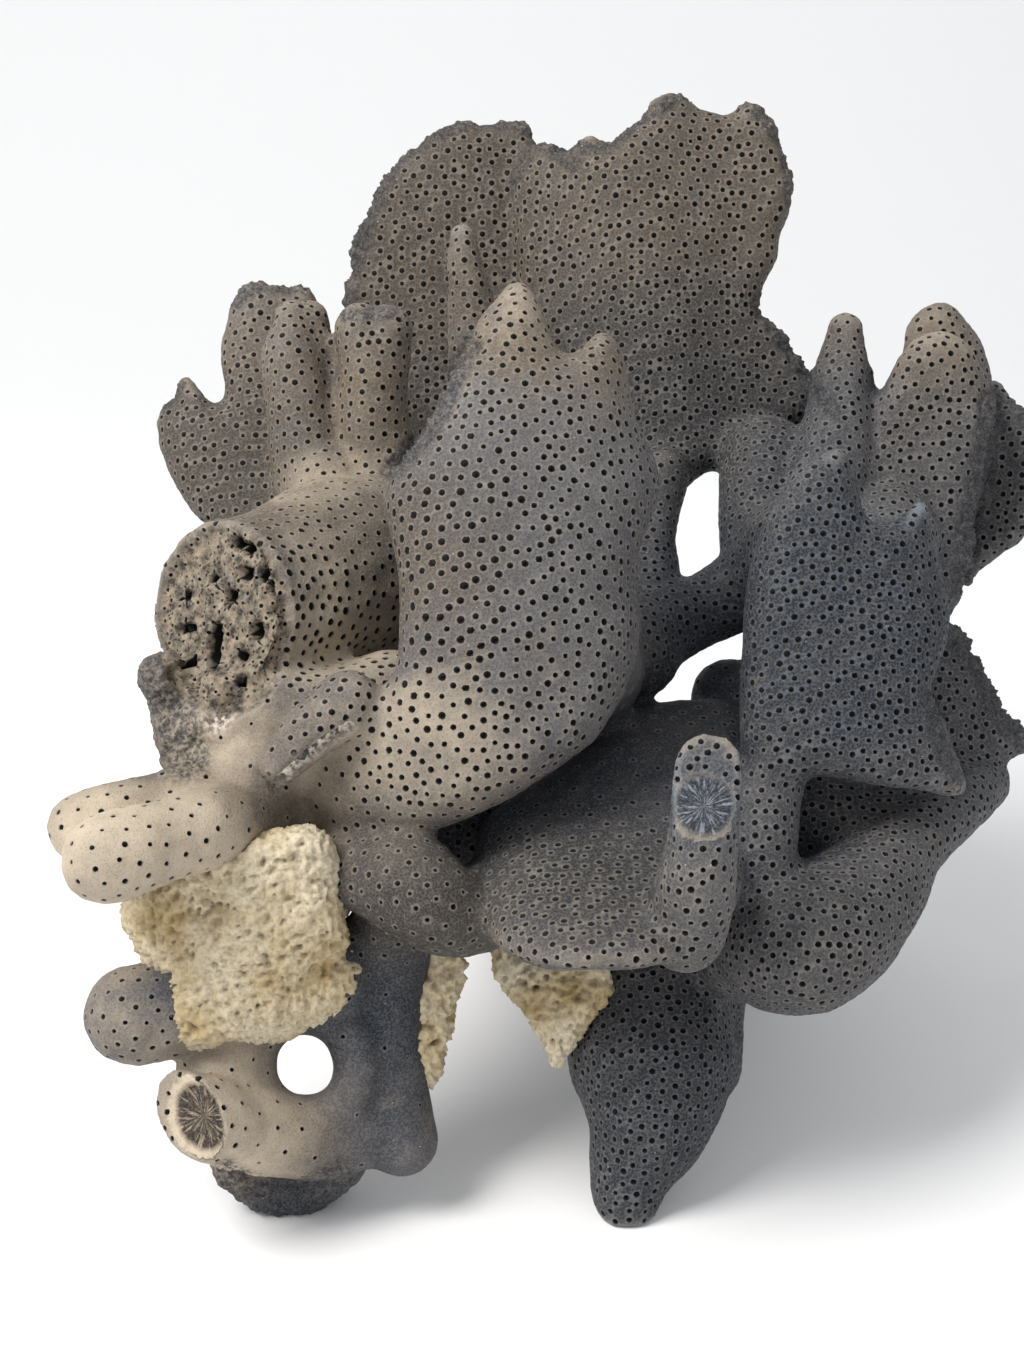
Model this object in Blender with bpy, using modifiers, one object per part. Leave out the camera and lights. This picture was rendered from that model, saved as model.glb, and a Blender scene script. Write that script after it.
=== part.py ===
# A branching blue coral specimen, dried, cut off flat where it grew on rock.
#
# The widest side faces the front (-Y), +X is to the right, +Z is up, and the origin lies on the
# resting plane below the middle of the specimen. It stands on three cut ends: the root at the
# back, the blue foot at the front left and the tip of the pointed foot at the front right.
#
# Every outline and route below is measured in millimetres on a picture of the front, as an eye
# sees it from VIEW_DISTANCE away and VIEW_ANGLE above level. A picture point is (across, up),
# from the picture's middle, and depth is how far the coral lies behind the middle plane there,
# negative towards the eye. in_space() turns the three into metres in the specimen's frame.

import math

import bmesh
import bpy
from mathutils import Vector
from mathutils.bvhtree import BVHTree

MM = 0.001
VIEW_DISTANCE = 300.0
VIEW_ANGLE = math.radians(20.0)
MIDDLE = Vector((-13.0, -5.4, 69.0))

GAP = 0.4
FINE_VOXEL = 1.4
SMOOTH_STEPS = 3
ROOT_BLOCK = 400.0

TAN = (0.37, 0.30, 0.25)
BROWN = (0.19, 0.15, 0.12)
GREY = (0.20, 0.19, 0.20)
SLATE = (0.10, 0.11, 0.13)
NAVY = (0.03, 0.04, 0.06)
CREAM = (0.60, 0.50, 0.34)


def in_space(across, up, depth):
    """Gives the place, in metres, of a picture point that lies depth beyond the middle plane."""
    spread = 1.0 + depth / VIEW_DISTANCE
    x = across * spread
    y = depth * math.cos(VIEW_ANGLE) + up * spread * math.sin(VIEW_ANGLE)
    z = up * spread * math.cos(VIEW_ANGLE) - depth * math.sin(VIEW_ANGLE)
    return (MIDDLE + Vector((x, y, z))) * MM


def new_collection(name):
    """Adds a collection to the scene."""
    collection = bpy.data.collections.new(name)
    bpy.context.scene.collection.children.link(collection)
    return collection


def new_material(name, colour, roughness=0.75):
    """Makes a plain Principled material for one branch."""
    material = bpy.data.materials.new(name)
    material.use_nodes = True
    shader = material.node_tree.nodes["Principled BSDF"]
    shader.inputs["Base Color"].default_value = (*colour, 1.0)
    shader.inputs["Roughness"].default_value = roughness
    shader.inputs["Metallic"].default_value = 0.0
    return material


def made_mesh(obj):
    """Replaces an object by a mesh of what its curve or modifiers evaluate to."""
    graph = bpy.context.evaluated_depsgraph_get()
    mesh = bpy.data.meshes.new_from_object(obj.evaluated_get(graph))
    mesh.transform(obj.matrix_world)
    made = bpy.data.objects.new(obj.name + "_made", mesh)
    guides.objects.link(made)
    bpy.data.objects.remove(obj)
    edit = bmesh.new()
    edit.from_mesh(mesh)
    bmesh.ops.remove_doubles(edit, verts=edit.verts, dist=0.000001)
    bmesh.ops.recalc_face_normals(edit, faces=edit.faces)
    edit.to_mesh(mesh)
    edit.free()
    return made


def remeshed(obj, voxel):
    """Rebuilds an object's surface on an even grid, so that it can bend and fuse."""
    remesh = obj.modifiers.new("Remesh", "REMESH")
    remesh.mode = "VOXEL"
    remesh.voxel_size = voxel * MM
    return made_mesh(obj)


def frond(outline, depth, thickness):
    """Makes a flat growth: a picture outline with round edges, bent to lie at depth(across, up)."""
    curve = bpy.data.curves.new("frond", "CURVE")
    curve.dimensions = "2D"
    curve.fill_mode = "BOTH"
    edge = 0.3 * thickness
    curve.extrude = (0.5 * thickness - edge) * MM
    curve.bevel_depth = edge * MM
    curve.offset = -edge * MM
    curve.bevel_resolution = 1
    spline = curve.splines.new("POLY")
    spline.points.add(len(outline) - 1)
    for point, (across, up) in zip(spline.points, outline):
        point.co = (across * MM, up * MM, 0.0, 1.0)
    spline.use_cyclic_u = True
    flat = bpy.data.objects.new("frond", curve)
    guides.objects.link(flat)
    bent = remeshed(made_mesh(flat), FINE_VOXEL)
    for vertex in bent.data.vertices:
        across, up, through = vertex.co / MM
        vertex.co = in_space(across, up, depth(across, up) - through)
    return bent


def finger(route):
    """Makes a round growth along points of (across, up, depth, radius), with round ends."""
    curve = bpy.data.curves.new("finger", "CURVE")
    curve.dimensions = "3D"
    curve.bevel_depth = MM
    curve.bevel_resolution = 2
    curve.resolution_u = 4
    curve.use_fill_caps = True
    spline = curve.splines.new("BEZIER")
    spline.bezier_points.add(len(route) - 1)
    for point, (across, up, depth, radius) in zip(spline.bezier_points, route):
        point.co = in_space(across, up, depth)
        point.radius = radius * (1.0 + depth / VIEW_DISTANCE)
        point.handle_left_type = "AUTO"
        point.handle_right_type = "AUTO"
    tube = bpy.data.objects.new("finger", curve)
    guides.objects.link(tube)
    parts = [made_mesh(tube)]
    for across, up, depth, radius in (route[0], route[-1]):
        parts.append(ball(across, up, depth, radius))
    return parts


def ball(across, up, depth, radius):
    """Makes a round lump."""
    mesh = bpy.data.meshes.new("ball")
    edit = bmesh.new()
    size = radius * (1.0 + depth / VIEW_DISTANCE) * MM
    bmesh.ops.create_uvsphere(edit, u_segments=16, v_segments=10, radius=size)
    bmesh.ops.translate(edit, verts=edit.verts, vec=in_space(across, up, depth))
    edit.to_mesh(mesh)
    edit.free()
    obj = bpy.data.objects.new("ball", mesh)
    guides.objects.link(obj)
    return obj


def flattened(shapes):
    """Gives the shapes as one flat list, because a finger is three shapes."""
    flat = []
    for shape in shapes:
        if isinstance(shape, list):
            flat.extend(shape)
        else:
            flat.append(shape)
    return flat


def joined(name, shapes):
    """Puts the shapes' meshes in one object."""
    edit = bmesh.new()
    for shape in shapes:
        edit.from_mesh(shape.data)
        bpy.data.objects.remove(shape)
    mesh = bpy.data.meshes.new(name)
    edit.to_mesh(mesh)
    edit.free()
    obj = bpy.data.objects.new(name, mesh)
    guides.objects.link(obj)
    return obj


def largest_body(mesh):
    """Drops every loose bit but the one with the largest surface."""
    edit = bmesh.new()
    edit.from_mesh(mesh)
    left = set(edit.faces)
    bodies = []
    while left:
        body = [left.pop()]
        for face in body:
            for edge in face.edges:
                for near in edge.link_faces:
                    if near in left:
                        left.remove(near)
                        body.append(near)
        bodies.append(body)
    bodies.sort(key=lambda body: sum(face.calc_area() for face in body))
    strays = [face for body in bodies[:-1] for face in body]
    bmesh.ops.delete(edit, geom=strays, context="FACES")
    bmesh.ops.triangulate(edit, faces=edit.faces)
    edit.to_mesh(mesh)
    edit.free()


def cut(obj, cutter):
    """Takes the cutter's volume out of an object and keeps its largest body."""
    boolean = obj.modifiers.new("Cut", "BOOLEAN")
    boolean.operation = "DIFFERENCE"
    boolean.solver = "EXACT"
    boolean.use_self = True
    boolean.object = cutter
    made = made_mesh(obj)
    largest_body(made.data)
    return made


def grown_cutter(obj):
    """Makes a copy of a branch that is larger by the gap all round."""
    mesh = obj.data.copy()
    for vertex, old in zip(mesh.vertices, obj.data.vertices):
        vertex.co = old.co + old.normal * GAP * MM
    cutter = bpy.data.objects.new(obj.name + "_cutter", mesh)
    cutters.objects.link(cutter)
    return cutter


def overlap(one, other):
    """Tells whether two meshes' surfaces cross."""
    return bool(surface(one).overlap(surface(other)))


def surface(obj):
    """Gives the tree of an object's faces."""
    vertices = [vertex.co for vertex in obj.data.vertices]
    faces = [face.vertices for face in obj.data.polygons]
    return BVHTree.FromPolygons(vertices, faces)


def branch(name, colour, shapes, faces, cuts=()):
    """Makes one branch: fused shapes, thinned to about the asked number of faces, clear of others."""
    obj = joined(name, flattened(shapes))
    obj = remeshed(obj, FINE_VOXEL)
    smooth = obj.modifiers.new("Smooth", "SMOOTH")
    smooth.factor = 0.5
    smooth.iterations = SMOOTH_STEPS
    obj = made_mesh(obj)
    largest_body(obj.data)
    thin = obj.modifiers.new("Decimate", "DECIMATE")
    thin.ratio = min(1.0, faces / len(obj.data.polygons))
    obj = made_mesh(obj)
    for cutter in cuts:
        obj = cut(obj, cutter)
    if min(vertex.co.z for vertex in obj.data.vertices) < 0.0:
        obj = cut(obj, rock)
    for earlier in list(parts.objects):
        cutter = grown_cutter(earlier)
        for neighbour in (cutter, earlier):
            if overlap(obj, neighbour):
                obj = cut(obj, neighbour)
        bpy.data.objects.remove(cutter)
    guides.objects.unlink(obj)
    parts.objects.link(obj)
    obj.name = name
    obj.data.name = name
    obj.data.materials.clear()
    obj.data.materials.append(new_material(name, colour))
    obj.data.shade_smooth()
    return obj


def block(name, low, high):
    """Makes a box cutter between two corners, in millimetres."""
    mesh = bpy.data.meshes.new(name)
    edit = bmesh.new()
    bmesh.ops.create_cube(edit, size=1.0)
    for vertex in edit.verts:
        vertex.co = [(high[i] if vertex.co[i] > 0 else low[i]) * MM for i in range(3)]
    edit.to_mesh(mesh)
    edit.free()
    obj = bpy.data.objects.new(name, mesh)
    cutters.objects.link(obj)
    obj.hide_render = True
    obj.display_type = "WIRE"
    return obj


def facing_block(name, point, towards):
    """Makes a cutter with one face through a picture point, that takes away what lies towards it."""
    obj = block(name, (-40.0, -40.0, 0.0), (40.0, 40.0, 80.0))
    turn = Vector(towards).to_track_quat("Z", "Y")
    obj.matrix_world = turn.to_matrix().to_4x4()
    obj.location = in_space(*point)
    bpy.context.view_layer.update()
    return obj


for old in list(bpy.data.objects):
    bpy.data.objects.remove(old)
parts = new_collection("coral_specimen")
guides = new_collection("guides")
cutters = new_collection("cutters")
rock = block("rock", (-ROOT_BLOCK, -ROOT_BLOCK, -ROOT_BLOCK), (ROOT_BLOCK, ROOT_BLOCK, 0.0))

# The root rises from its cut base at the back and carries everything else.
branch("root", SLATE, [
    finger([(10, -31, 64, 15), (10, -27, 42, 13), (9, -17, 16, 13), (8, 0, 8, 12), (7, 14, 6, 9)]),
    finger([(26, -30, 62, 11), (14, -26, 40, 12)]),
    finger([(-6, -2, 4, 11), (-22, 6, 6, 12)]),
    finger([(12, -14, 10, 11), (28, -16, 4, 10)]),
    finger([(-17, -23, -6, 8), (-4, -21, 0, 10), (6, -18, 8, 11)]),
], faces=330)


# The big leaf in front, lying free of the others along its left and lower edges.
def front_leaf_depth(across, up):
    return -33.0 + 0.012 * (across + 4.0) ** 2 + 0.004 * (up - 15.0) ** 2


branch("front_frond", GREY, [
    frond([(-1.5, 59), (1, 60), (3.5, 59), (5, 55), (6.5, 51), (9, 49.5), (13, 53), (15.5, 51),
           (17, 46), (19, 39.5), (21.5, 34.5), (22.5, 30.5), (21, 25), (19, 20), (19, 8),
           (18, 2.5), (16, -3.5), (12.5, -8.5), (6.5, -13), (-0.5, -17.5), (-8, -21),
           (-17, -23), (-26.5, -23.5), (-33.5, -20), (-37, -16), (-37, -13), (-34, -9),
           (-25, -2), (-20, -1), (-17.5, 2), (-16.5, 8), (-17, 14.5), (-19.5, 28),
           (-18, 32), (-14, 36.5), (-8.5, 45.5), (-6.5, 50.5), (-4.5, 55.5)],
          front_leaf_depth, 12.0),
    finger([(10, 5, -26, 9), (10, 2, -6, 10)]),
], faces=400)


# The big branch at the left, whose end broke off in a round face turned to the front left.
branch("cut_branch", BROWN, [
    finger([(-45, 10.5, -22, 13.4), (-36, 12.5, -13, 13.6), (-25, 17, -3, 14), (-12, 20, 5, 12)]),
    ball(-52.2, 0.6, -20, 4),
    finger([(-51, -3, -18, 4), (-49, -9, -20, 4.4)]),
    finger([(-40, -4, -20, 9), (-29, -7, -20, 10), (-18, -4, -16, 9)]),
    finger([(-48, -6, -17, 5), (-46, -14, -22, 5), (-38, -14, -24, 7)]),
    ball(-28, 30, 1, 6),
], faces=290, cuts=[facing_block("break_left", (-43.5, 10.9, -23), (-0.6, -0.74, 0.27))])

# Two smooth round lobes on a low arm at the front left.
branch("twin_lobes", TAN, [
    finger([(-60.5, -26.5, -40, 7), (-53, -24, -38, 6.2), (-44, -21.5, -31, 6.2),
            (-36, -20.5, -21, 6), (-28, -19, -12, 6)]),
    finger([(-64, -22.5, -33, 5), (-54, -18.5, -29, 5), (-44, -16.5, -25, 5.5),
            (-36, -15, -19, 6)]),
], faces=230)


# The shelf in the middle, which rises away from its thick front lip like the side of a bowl.
def shelf_depth(across, up):
    return -34.0 + 1.05 * (up + 36.0) + 0.012 * (across - 15.0) ** 2


branch("shelf", SLATE, [
    frond([(-6, -28), (-5, -35), (-2, -39.5), (5, -42.5), (13, -43), (21, -42.5), (28, -40),
           (33, -35), (35, -28), (35, -18), (36, -9), (34, -3), (27, -2.5), (19, -4),
           (13, -8), (7, -12), (1, -16.5), (-4, -21)],
          shelf_depth, 15.0),
], faces=270)

# A stub that stood up from the shelf's right end and broke off on a slant.
branch("broken_stub", NAVY, [
    finger([(26, -37, -36, 6.5), (27.5, -30, -40, 6.2), (28.8, -23, -42, 5.5), (29.5, -12, -44, 5)]),
], faces=130, cuts=[facing_block("break_stub", (28.8, -18.5, -45), (-0.12, -0.86, 0.5))])

# The low brown lobe under the front leaf.
branch("brown_lobe", BROWN, [
    finger([(-24, -28, -24, 6), (-16, -30, -27, 8), (-10, -34, -28, 7), (-6, -34, -20, 7)]),
], faces=150)


# The right front leaf, upright, with a broken crest along its lower right corner.
def right_leaf_depth(across, up):
    return -18.0 + 0.03 * up + 0.011 * (across - 46.0) ** 2


branch("right_front_frond", GREY, [
    frond([(49, 35), (50.5, 33), (52, 29.5), (53.5, 26), (59, 26), (61.5, 26.5), (64, 19),
           (65, 14), (65.5, 9), (64.5, 4), (63, -1), (65, -6), (68, -15), (67, -17),
           (61, -16), (46, -14), (41, -16), (38, -20), (35.5, -16), (34, -8.5), (34, -1),
           (35.5, 14), (38, 24.5), (41, 30.5), (44, 33.5)],
          right_leaf_depth, 10.0),
    finger([(38, -15, -16, 6), (37, -25, -17, 6), (37, -36, -14, 7)]),
], faces=290)

# The heavy lobe at the lower right, on a neck that comes forward from the right side.
branch("right_lower_lobe", SLATE, [
    finger([(35, -40, -12, 8), (43, -39, -17, 11.5), (50.5, -34, -13, 10), (59.5, -23.5, -6, 6),
            (66, -18, 0, 5.2), (70, -15, 8, 4.8)]),
], faces=270)

# The pointed foot at the front right, which stands on its cut tip.
branch("right_foot", SLATE, [
    finger([(21, -46, -2, 12), (21, -57, -6, 13), (20, -67, -9, 9.5), (17.5, -75, -10, 6),
            (17, -80, -10, 4.5)]),
    finger([(28, -57, -4, 6.5), (27, -47, 0, 8)]),
], faces=230)


# The tall leaves at the back, whose folds turn their edges to the front.
def back_right_depth(across, up):
    fold = 1.4 * math.cos(across / 5.0 + up / 25.0)
    return 22.0 - 0.1 * (up - 30.0) + 0.006 * (across - 22.0) ** 2 - fold


branch("back_frond_right", BROWN, [
    frond([(0, 74.5), (1.5, 80), (5, 81.5), (10, 80), (11.5, 82.5), (14, 80), (19.5, 84.5),
           (21, 87.5), (25, 88), (28, 86.5), (32.5, 85.5), (36, 87), (39, 84.5), (41, 80),
           (42, 71.5), (40.5, 68), (37.5, 59), (36.5, 55.5), (41.5, 50.5), (48, 41),
           (45.5, 40), (42, 38), (37, 30.5), (32, 31.5), (26.5, 30), (19, 20), (9, 20),
           (5, 36.5), (2.5, 45.5), (1.5, 57.5)],
          back_right_depth, 9.0),
    finger([(10, 26, 18, 7), (8, 10, 12, 8)]),
], faces=360)


def back_left_depth(across, up):
    return 29.0 - 0.12 * (up - 30.0) + 0.008 * (across + 10.0) ** 2


branch("back_frond_left", BROWN, [
    frond([(-25, 56.5), (-24.5, 61.5), (-22.5, 68), (-19.5, 75), (-16.5, 78.5), (-12.5, 81.5),
           (-7.5, 84), (-2, 84), (3, 83), (4, 45.5), (2, 27), (-6, 20), (-13, 26),
           (-17, 38), (-22, 48.5)],
          back_left_depth, 8.0),
    finger([(-4, 26, 22, 7), (0, 10, 12, 8)]),
], faces=270)

# A slim finger between the back leaves and the front one.
branch("thin_finger", BROWN, [
    finger([(-7.3, 67, 8, 2), (-7, 63, 8, 2.6), (-6, 56, 9, 3.2), (-5, 46, 10, 4.2),
            (-4, 36, 10, 5), (-3, 24, 6, 6)]),
], faces=130)

# The short finger on the shoulder of the cut branch.
branch("stub_finger", BROWN, [
    finger([(-23, 53, 0, 3.6), (-21, 47, 1, 5), (-21, 40, 2, 5.3), (-20, 32, 3, 6),
            (-19, 25, 4, 6)]),
    finger([(-18.5, 53, 0, 3.4), (-20, 46, 1, 4.5)]),
], faces=140)


# The blade at the far left, with a pointed lower tip and a taller broken one.
def left_fan_depth(across, up):
    return 10.0 + 0.08 * (up - 40.0) + 0.01 * (across + 36.0) ** 2


branch("left_fan", BROWN, [
    frond([(-49, 46), (-46.5, 43), (-44.5, 41.5), (-43, 44.5), (-44, 51.5), (-42.5, 54),
           (-42, 57), (-38, 60), (-31, 59.5), (-29.5, 57.5), (-28, 51.5), (-24.5, 41),
           (-25, 33), (-28, 22), (-39.5, 20), (-47, 24.5), (-50, 28.5), (-52, 33), (-53, 37),
           (-52.5, 41), (-50.5, 42)],
          left_fan_depth, 8.0),
], faces=210)
branch("left_fan_finger", BROWN, [
    finger([(-32.5, 54, 3, 3.4), (-33, 49, 2, 4.6), (-32, 43, 2, 5), (-31, 36, 3, 5.5),
            (-30, 30, 4, 6)]),
], faces=130)

# The bridge behind, between the root and the right side, with an opening above and below it.
branch("cross_branch", NAVY, [
    finger([(17, 6, 4, 9), (22, 8.5, 6, 7), (29, 11, 8, 5.5), (36, 15, 7, 6), (42, 20, 4, 8)]),
    finger([(22, 31, 17, 4.5), (20.5, 22, 12, 4.2), (19.5, 12, 8, 6)]),
    finger([(38, 33, 18, 7), (36.5, 25, 12, 5.5), (37, 16, 8, 5)]),
], faces=210)
branch("right_column", SLATE, [
    finger([(32, -2, 10, 5.5), (42, -4, 8, 9), (50, 6, 6, 9), (54, 16, 8, 9), (56, 22, 12, 8)]),
    finger([(40, -10, 6, 9), (46, -20, 0, 9), (54, -22, -2, 7), (60, -16, 2, 6)]),
], faces=230)

# The growths of the right side, one behind the other.
branch("right_fingers", SLATE, [
    finger([(50, 53, 14, 2.8), (49.5, 47, 14, 4.2), (48.5, 38, 13, 5.3), (46.5, 27, 11, 6.5),
            (45, 18, 8, 6.5)]),
    finger([(52, 46, 16, 2.4), (52, 38, 15, 3.2), (51, 28, 14, 5)]),
], faces=150)


def tall_blade_depth(across, up):
    return 14.0 - 0.1 * (up - 30.0) + 0.012 * (across - 62.0) ** 2


branch("right_tall_blade", GREY, [
    frond([(58.5, 49.5), (60.5, 51.5), (64, 52.5), (67.5, 51.5), (70.5, 47.5), (72, 40.5),
           (70, 30.5), (69, 24.5), (68, 13.5), (65.5, 10), (60.5, 6), (54.5, 10),
           (52.5, 21.5), (52.5, 29), (54.5, 41), (56.5, 46)],
          tall_blade_depth, 8.0),
], faces=200)


def low_blade_depth(across, up):
    return 24.0 - 0.1 * (up - 30.0) + 0.01 * (across - 62.0) ** 2


branch("right_low_blade", SLATE, [
    frond([(59, 52), (61.5, 55.5), (65, 56.5), (68, 54.5), (70.5, 50.5), (72, 44.5), (71, 30),
           (66, 18), (60, 15), (57, 30)],
          low_blade_depth, 7.0),
], faces=150)


def far_blade_depth(across, up):
    return 31.0 - 0.5 * (across - 70.0) - 0.1 * (up - 30.0)


branch("far_right_blade", SLATE, [
    frond([(69.5, 42.5), (72, 45), (74.5, 43.5), (77, 40.5), (79, 35.5), (80, 29), (78.5, 24),
           (74, 20), (66, 14), (60, 14), (62, 30)],
          far_blade_depth, 7.0),
], faces=150)


def torn_blade_depth(across, up):
    return 6.0 + 0.35 * (across - 68.0)


branch("torn_right_blade", SLATE, [
    frond([(60, 12), (65.5, 8.5), (69.5, 4), (71.5, -0.5), (74.5, -4.5), (78, -8.5),
           (77, -10.5), (74, -11.5), (70, -13), (66, -16), (58, -14), (54, -4), (55, 6)],
          torn_blade_depth, 9.0),
], faces=150)

# The cluster at the lower left: a lobe, a dark column and a bar round a small opening.
branch("dark_column", NAVY, [
    finger([(-17, -34, -18, 7), (-19, -42, -14, 6.5), (-19.5, -50, -13, 6.3),
            (-18.5, -59, -13, 6), (-17, -68, -13, 6)]),
    finger([(-23, -67, -14, 6.3), (-18, -66, -13, 6)]),
], faces=200)
branch("lower_left_lobe", GREY, [
    finger([(-56.5, -50, -24, 7.3), (-48, -48, -22, 7.5), (-38, -45, -20, 8),
            (-27, -43, -17, 7.5)]),
    finger([(-43, -48, -19, 6.5), (-43.5, -58, -19, 6.5)]),
], faces=200)
branch("broken_bar", GREY, [
    finger([(-51, -64.2, -31, 6.4), (-46.6, -65.2, -28, 6.6), (-40, -66.8, -22, 6.6),
            (-31, -68.3, -17, 6.2), (-26, -68, -15, 6)]),
], faces=170, cuts=[facing_block("break_bar", (-46.7, -65.2, -31), (-0.5, -0.84, 0.2))])
branch("blue_foot", NAVY, [
    finger([(-41, -71.5, -12, 4.6), (-34, -75, -8, 5.2), (-26, -71.5, -10, 4.6)]),
    finger([(-34, -73, -8, 6), (-34, -82, -4, 6)]),
], faces=110)


# Cream lime that crusts and sponges left on the lower branches.
def left_crust_depth(across, up):
    return -27.0 - 0.25 * (up + 36.0) + 0.01 * (across + 40.0) ** 2


branch("lime_crust_left", CREAM, [
    frond([(-58.5, -34), (-54.5, -30.5), (-42.5, -24), (-28, -22.5), (-26, -29.5), (-25, -36.5),
           (-27, -42.5), (-38, -49), (-47, -48), (-54, -43), (-55.5, -40)],
          left_crust_depth, 9.0),
    finger([(-45, -30, -20, 8), (-32, -30, -18, 8)]),
], faces=210)
branch("lime_flap_left", CREAM, [
    frond([(-16.5, -38), (-11, -37), (-7, -41), (-8, -47.5), (-10, -55), (-12, -60.5),
           (-15, -59), (-17.5, -49)],
          lambda across, up: -12.0 + 0.3 * (across + 12.0), 5.0),
], faces=100)
branch("lime_flap_right", CREAM, [
    frond([(-3, -37), (4, -36), (14, -40), (14.5, -46), (12, -50), (9, -54.5), (6.5, -58.5),
           (4.5, -54.5), (1.5, -49), (-1.5, -44.5)],
          lambda across, up: -12.0 - 0.1 * (across - 5.0), 5.0),
], faces=100)
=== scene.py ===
# %% [markdown]
# A dried blue coral. The living animal built one stony skeleton of upright leaves, fingers and
# lobes, and pricked it all over with round holes, one for each polyp. The measured model gives
# every branch's place and size. This file loads it as a fixed frame and gives it the looks.

# %% Load the frame
import math
import random
from collections import deque

import bmesh
import bpy
import numpy as np
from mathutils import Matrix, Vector, kdtree, noise
from mathutils.bvhtree import BVHTree
from mathutils.geometry import interpolate_bezier


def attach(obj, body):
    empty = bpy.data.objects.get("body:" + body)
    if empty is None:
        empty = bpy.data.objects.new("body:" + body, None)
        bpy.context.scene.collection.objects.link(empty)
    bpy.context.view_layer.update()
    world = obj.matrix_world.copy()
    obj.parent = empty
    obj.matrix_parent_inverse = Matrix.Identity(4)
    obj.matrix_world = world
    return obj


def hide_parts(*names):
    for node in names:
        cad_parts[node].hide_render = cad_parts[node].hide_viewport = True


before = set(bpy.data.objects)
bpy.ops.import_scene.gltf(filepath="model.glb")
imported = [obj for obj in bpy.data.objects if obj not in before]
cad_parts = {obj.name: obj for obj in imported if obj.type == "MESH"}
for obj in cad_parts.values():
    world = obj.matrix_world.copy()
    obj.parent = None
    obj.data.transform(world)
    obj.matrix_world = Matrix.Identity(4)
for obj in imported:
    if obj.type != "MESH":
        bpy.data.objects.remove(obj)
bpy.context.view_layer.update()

MM = 0.001

# %% [markdown]
# The photograph was taken from about 300 mm away and 20 degrees above level. A place on the
# coral is measured as the eye sees it: how far across and up from the picture's middle, and how
# deep behind its middle plane. One function turns those three millimetre values into space, so
# that an outline drawn over the picture lands where the real edge is. Another one turns space
# back into them. The camera stands at the same eye.

# %% Picture millimetres to space
MIDDLE = Vector((-13.0, -5.4, 69.0))
VIEW_DISTANCE = 300.0
VIEW_ANGLE = math.radians(20.0)
PICTURE_WIDTH = 153.6
SENSOR_WIDTH = 36.0
NEAREST_SEEN = 0.01
FORWARD = Vector((0.0, math.cos(VIEW_ANGLE), -math.sin(VIEW_ANGLE)))
UPWARD = Vector((0.0, math.sin(VIEW_ANGLE), math.cos(VIEW_ANGLE)))


def in_space(across, up, depth):
    spread = 1.0 + depth / VIEW_DISTANCE
    return MIDDLE + Vector((across * spread, 0.0, 0.0)) + UPWARD * up * spread + FORWARD * depth


def on_picture(places):
    """Gives how far across, up and deep each place in space is seen."""
    offset = places - np.array(MIDDLE)
    depth = offset @ np.array(FORWARD)
    spread = 1.0 + depth / VIEW_DISTANCE
    return offset[:, 0] / spread, offset @ np.array(UPWARD) / spread, depth


def placed(name, data):
    """Puts a mesh, curve, camera or light in the scene as an object."""
    obj = bpy.data.objects.new(name, data)
    bpy.context.scene.collection.objects.link(obj)
    return obj


def set_up_camera():
    camera = bpy.data.cameras.new("camera")
    camera.sensor_width = SENSOR_WIDTH
    camera.sensor_fit = "HORIZONTAL"
    camera.lens = SENSOR_WIDTH * VIEW_DISTANCE / PICTURE_WIDTH
    camera.clip_start = NEAREST_SEEN
    eye = placed("camera", camera)
    eye.location = (MIDDLE - FORWARD * VIEW_DISTANCE) * MM
    eye.rotation_euler = (math.pi / 2 - VIEW_ANGLE, 0.0, 0.0)
    bpy.context.scene.camera = eye


set_up_camera()
print("eye, mm:", [round(value, 1) for value in MIDDLE - FORWARD * VIEW_DISTANCE])

# %% [markdown]
# A leaf of this coral is a flat plate that thins to a blunt round edge. A bevelled curve would
# eat its small tips and notches. So the outline is filled and given its full thickness, remeshed
# to have points inside, and then each point is drawn towards the middle plane by its distance
# from the outline, as on an ellipse. The plate is bent to its depth at the same time. A leaf that
# was chipped has a ragged outline. Its jags come from Blender's vector noise, which gives other
# values each time Blender starts, so they differ a little from run to run. Fingers are round
# curves, and lumps are balls.

# %% Shape makers
SHAPE_VOXEL = 0.9
EDGE_THICKNESS = 0.24
LINE_STEPS = 5
JAGS_PER_MM = 0.8
WELD = 0.002


def made_mesh(obj):
    graph = bpy.context.evaluated_depsgraph_get()
    mesh = bpy.data.meshes.new_from_object(obj.evaluated_get(graph))
    bpy.data.objects.remove(obj)
    return mesh


def remeshed(mesh, voxel):
    obj = placed("grid", mesh)
    modifier = obj.modifiers.new("Remesh", "REMESH")
    modifier.mode = "VOXEL"
    modifier.voxel_size = voxel
    return made_mesh(obj)


def smooth_line(outline, ragged):
    """Runs a smooth closed line through the points of an outline, with jags where it is ragged."""
    points = [Vector(point) for point in outline]
    line = []
    for k, start in enumerate(points):
        before, end, after = points[k - 1], points[(k + 1) % len(points)], points[(k + 2) % len(points)]
        pull = (end - start).length / 3.0
        leave = start + (end - before).normalized() * pull
        arrive = end - (after - start).normalized() * pull
        line += interpolate_bezier(start, leave, arrive, end, LINE_STEPS)[:-1]
    jags = [noise.noise_vector((point.x * JAGS_PER_MM, point.y * JAGS_PER_MM, 0.0)) for point in line]
    return [(point + ragged * jag.to_2d())[:] for point, jag in zip(line, jags)]


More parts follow.
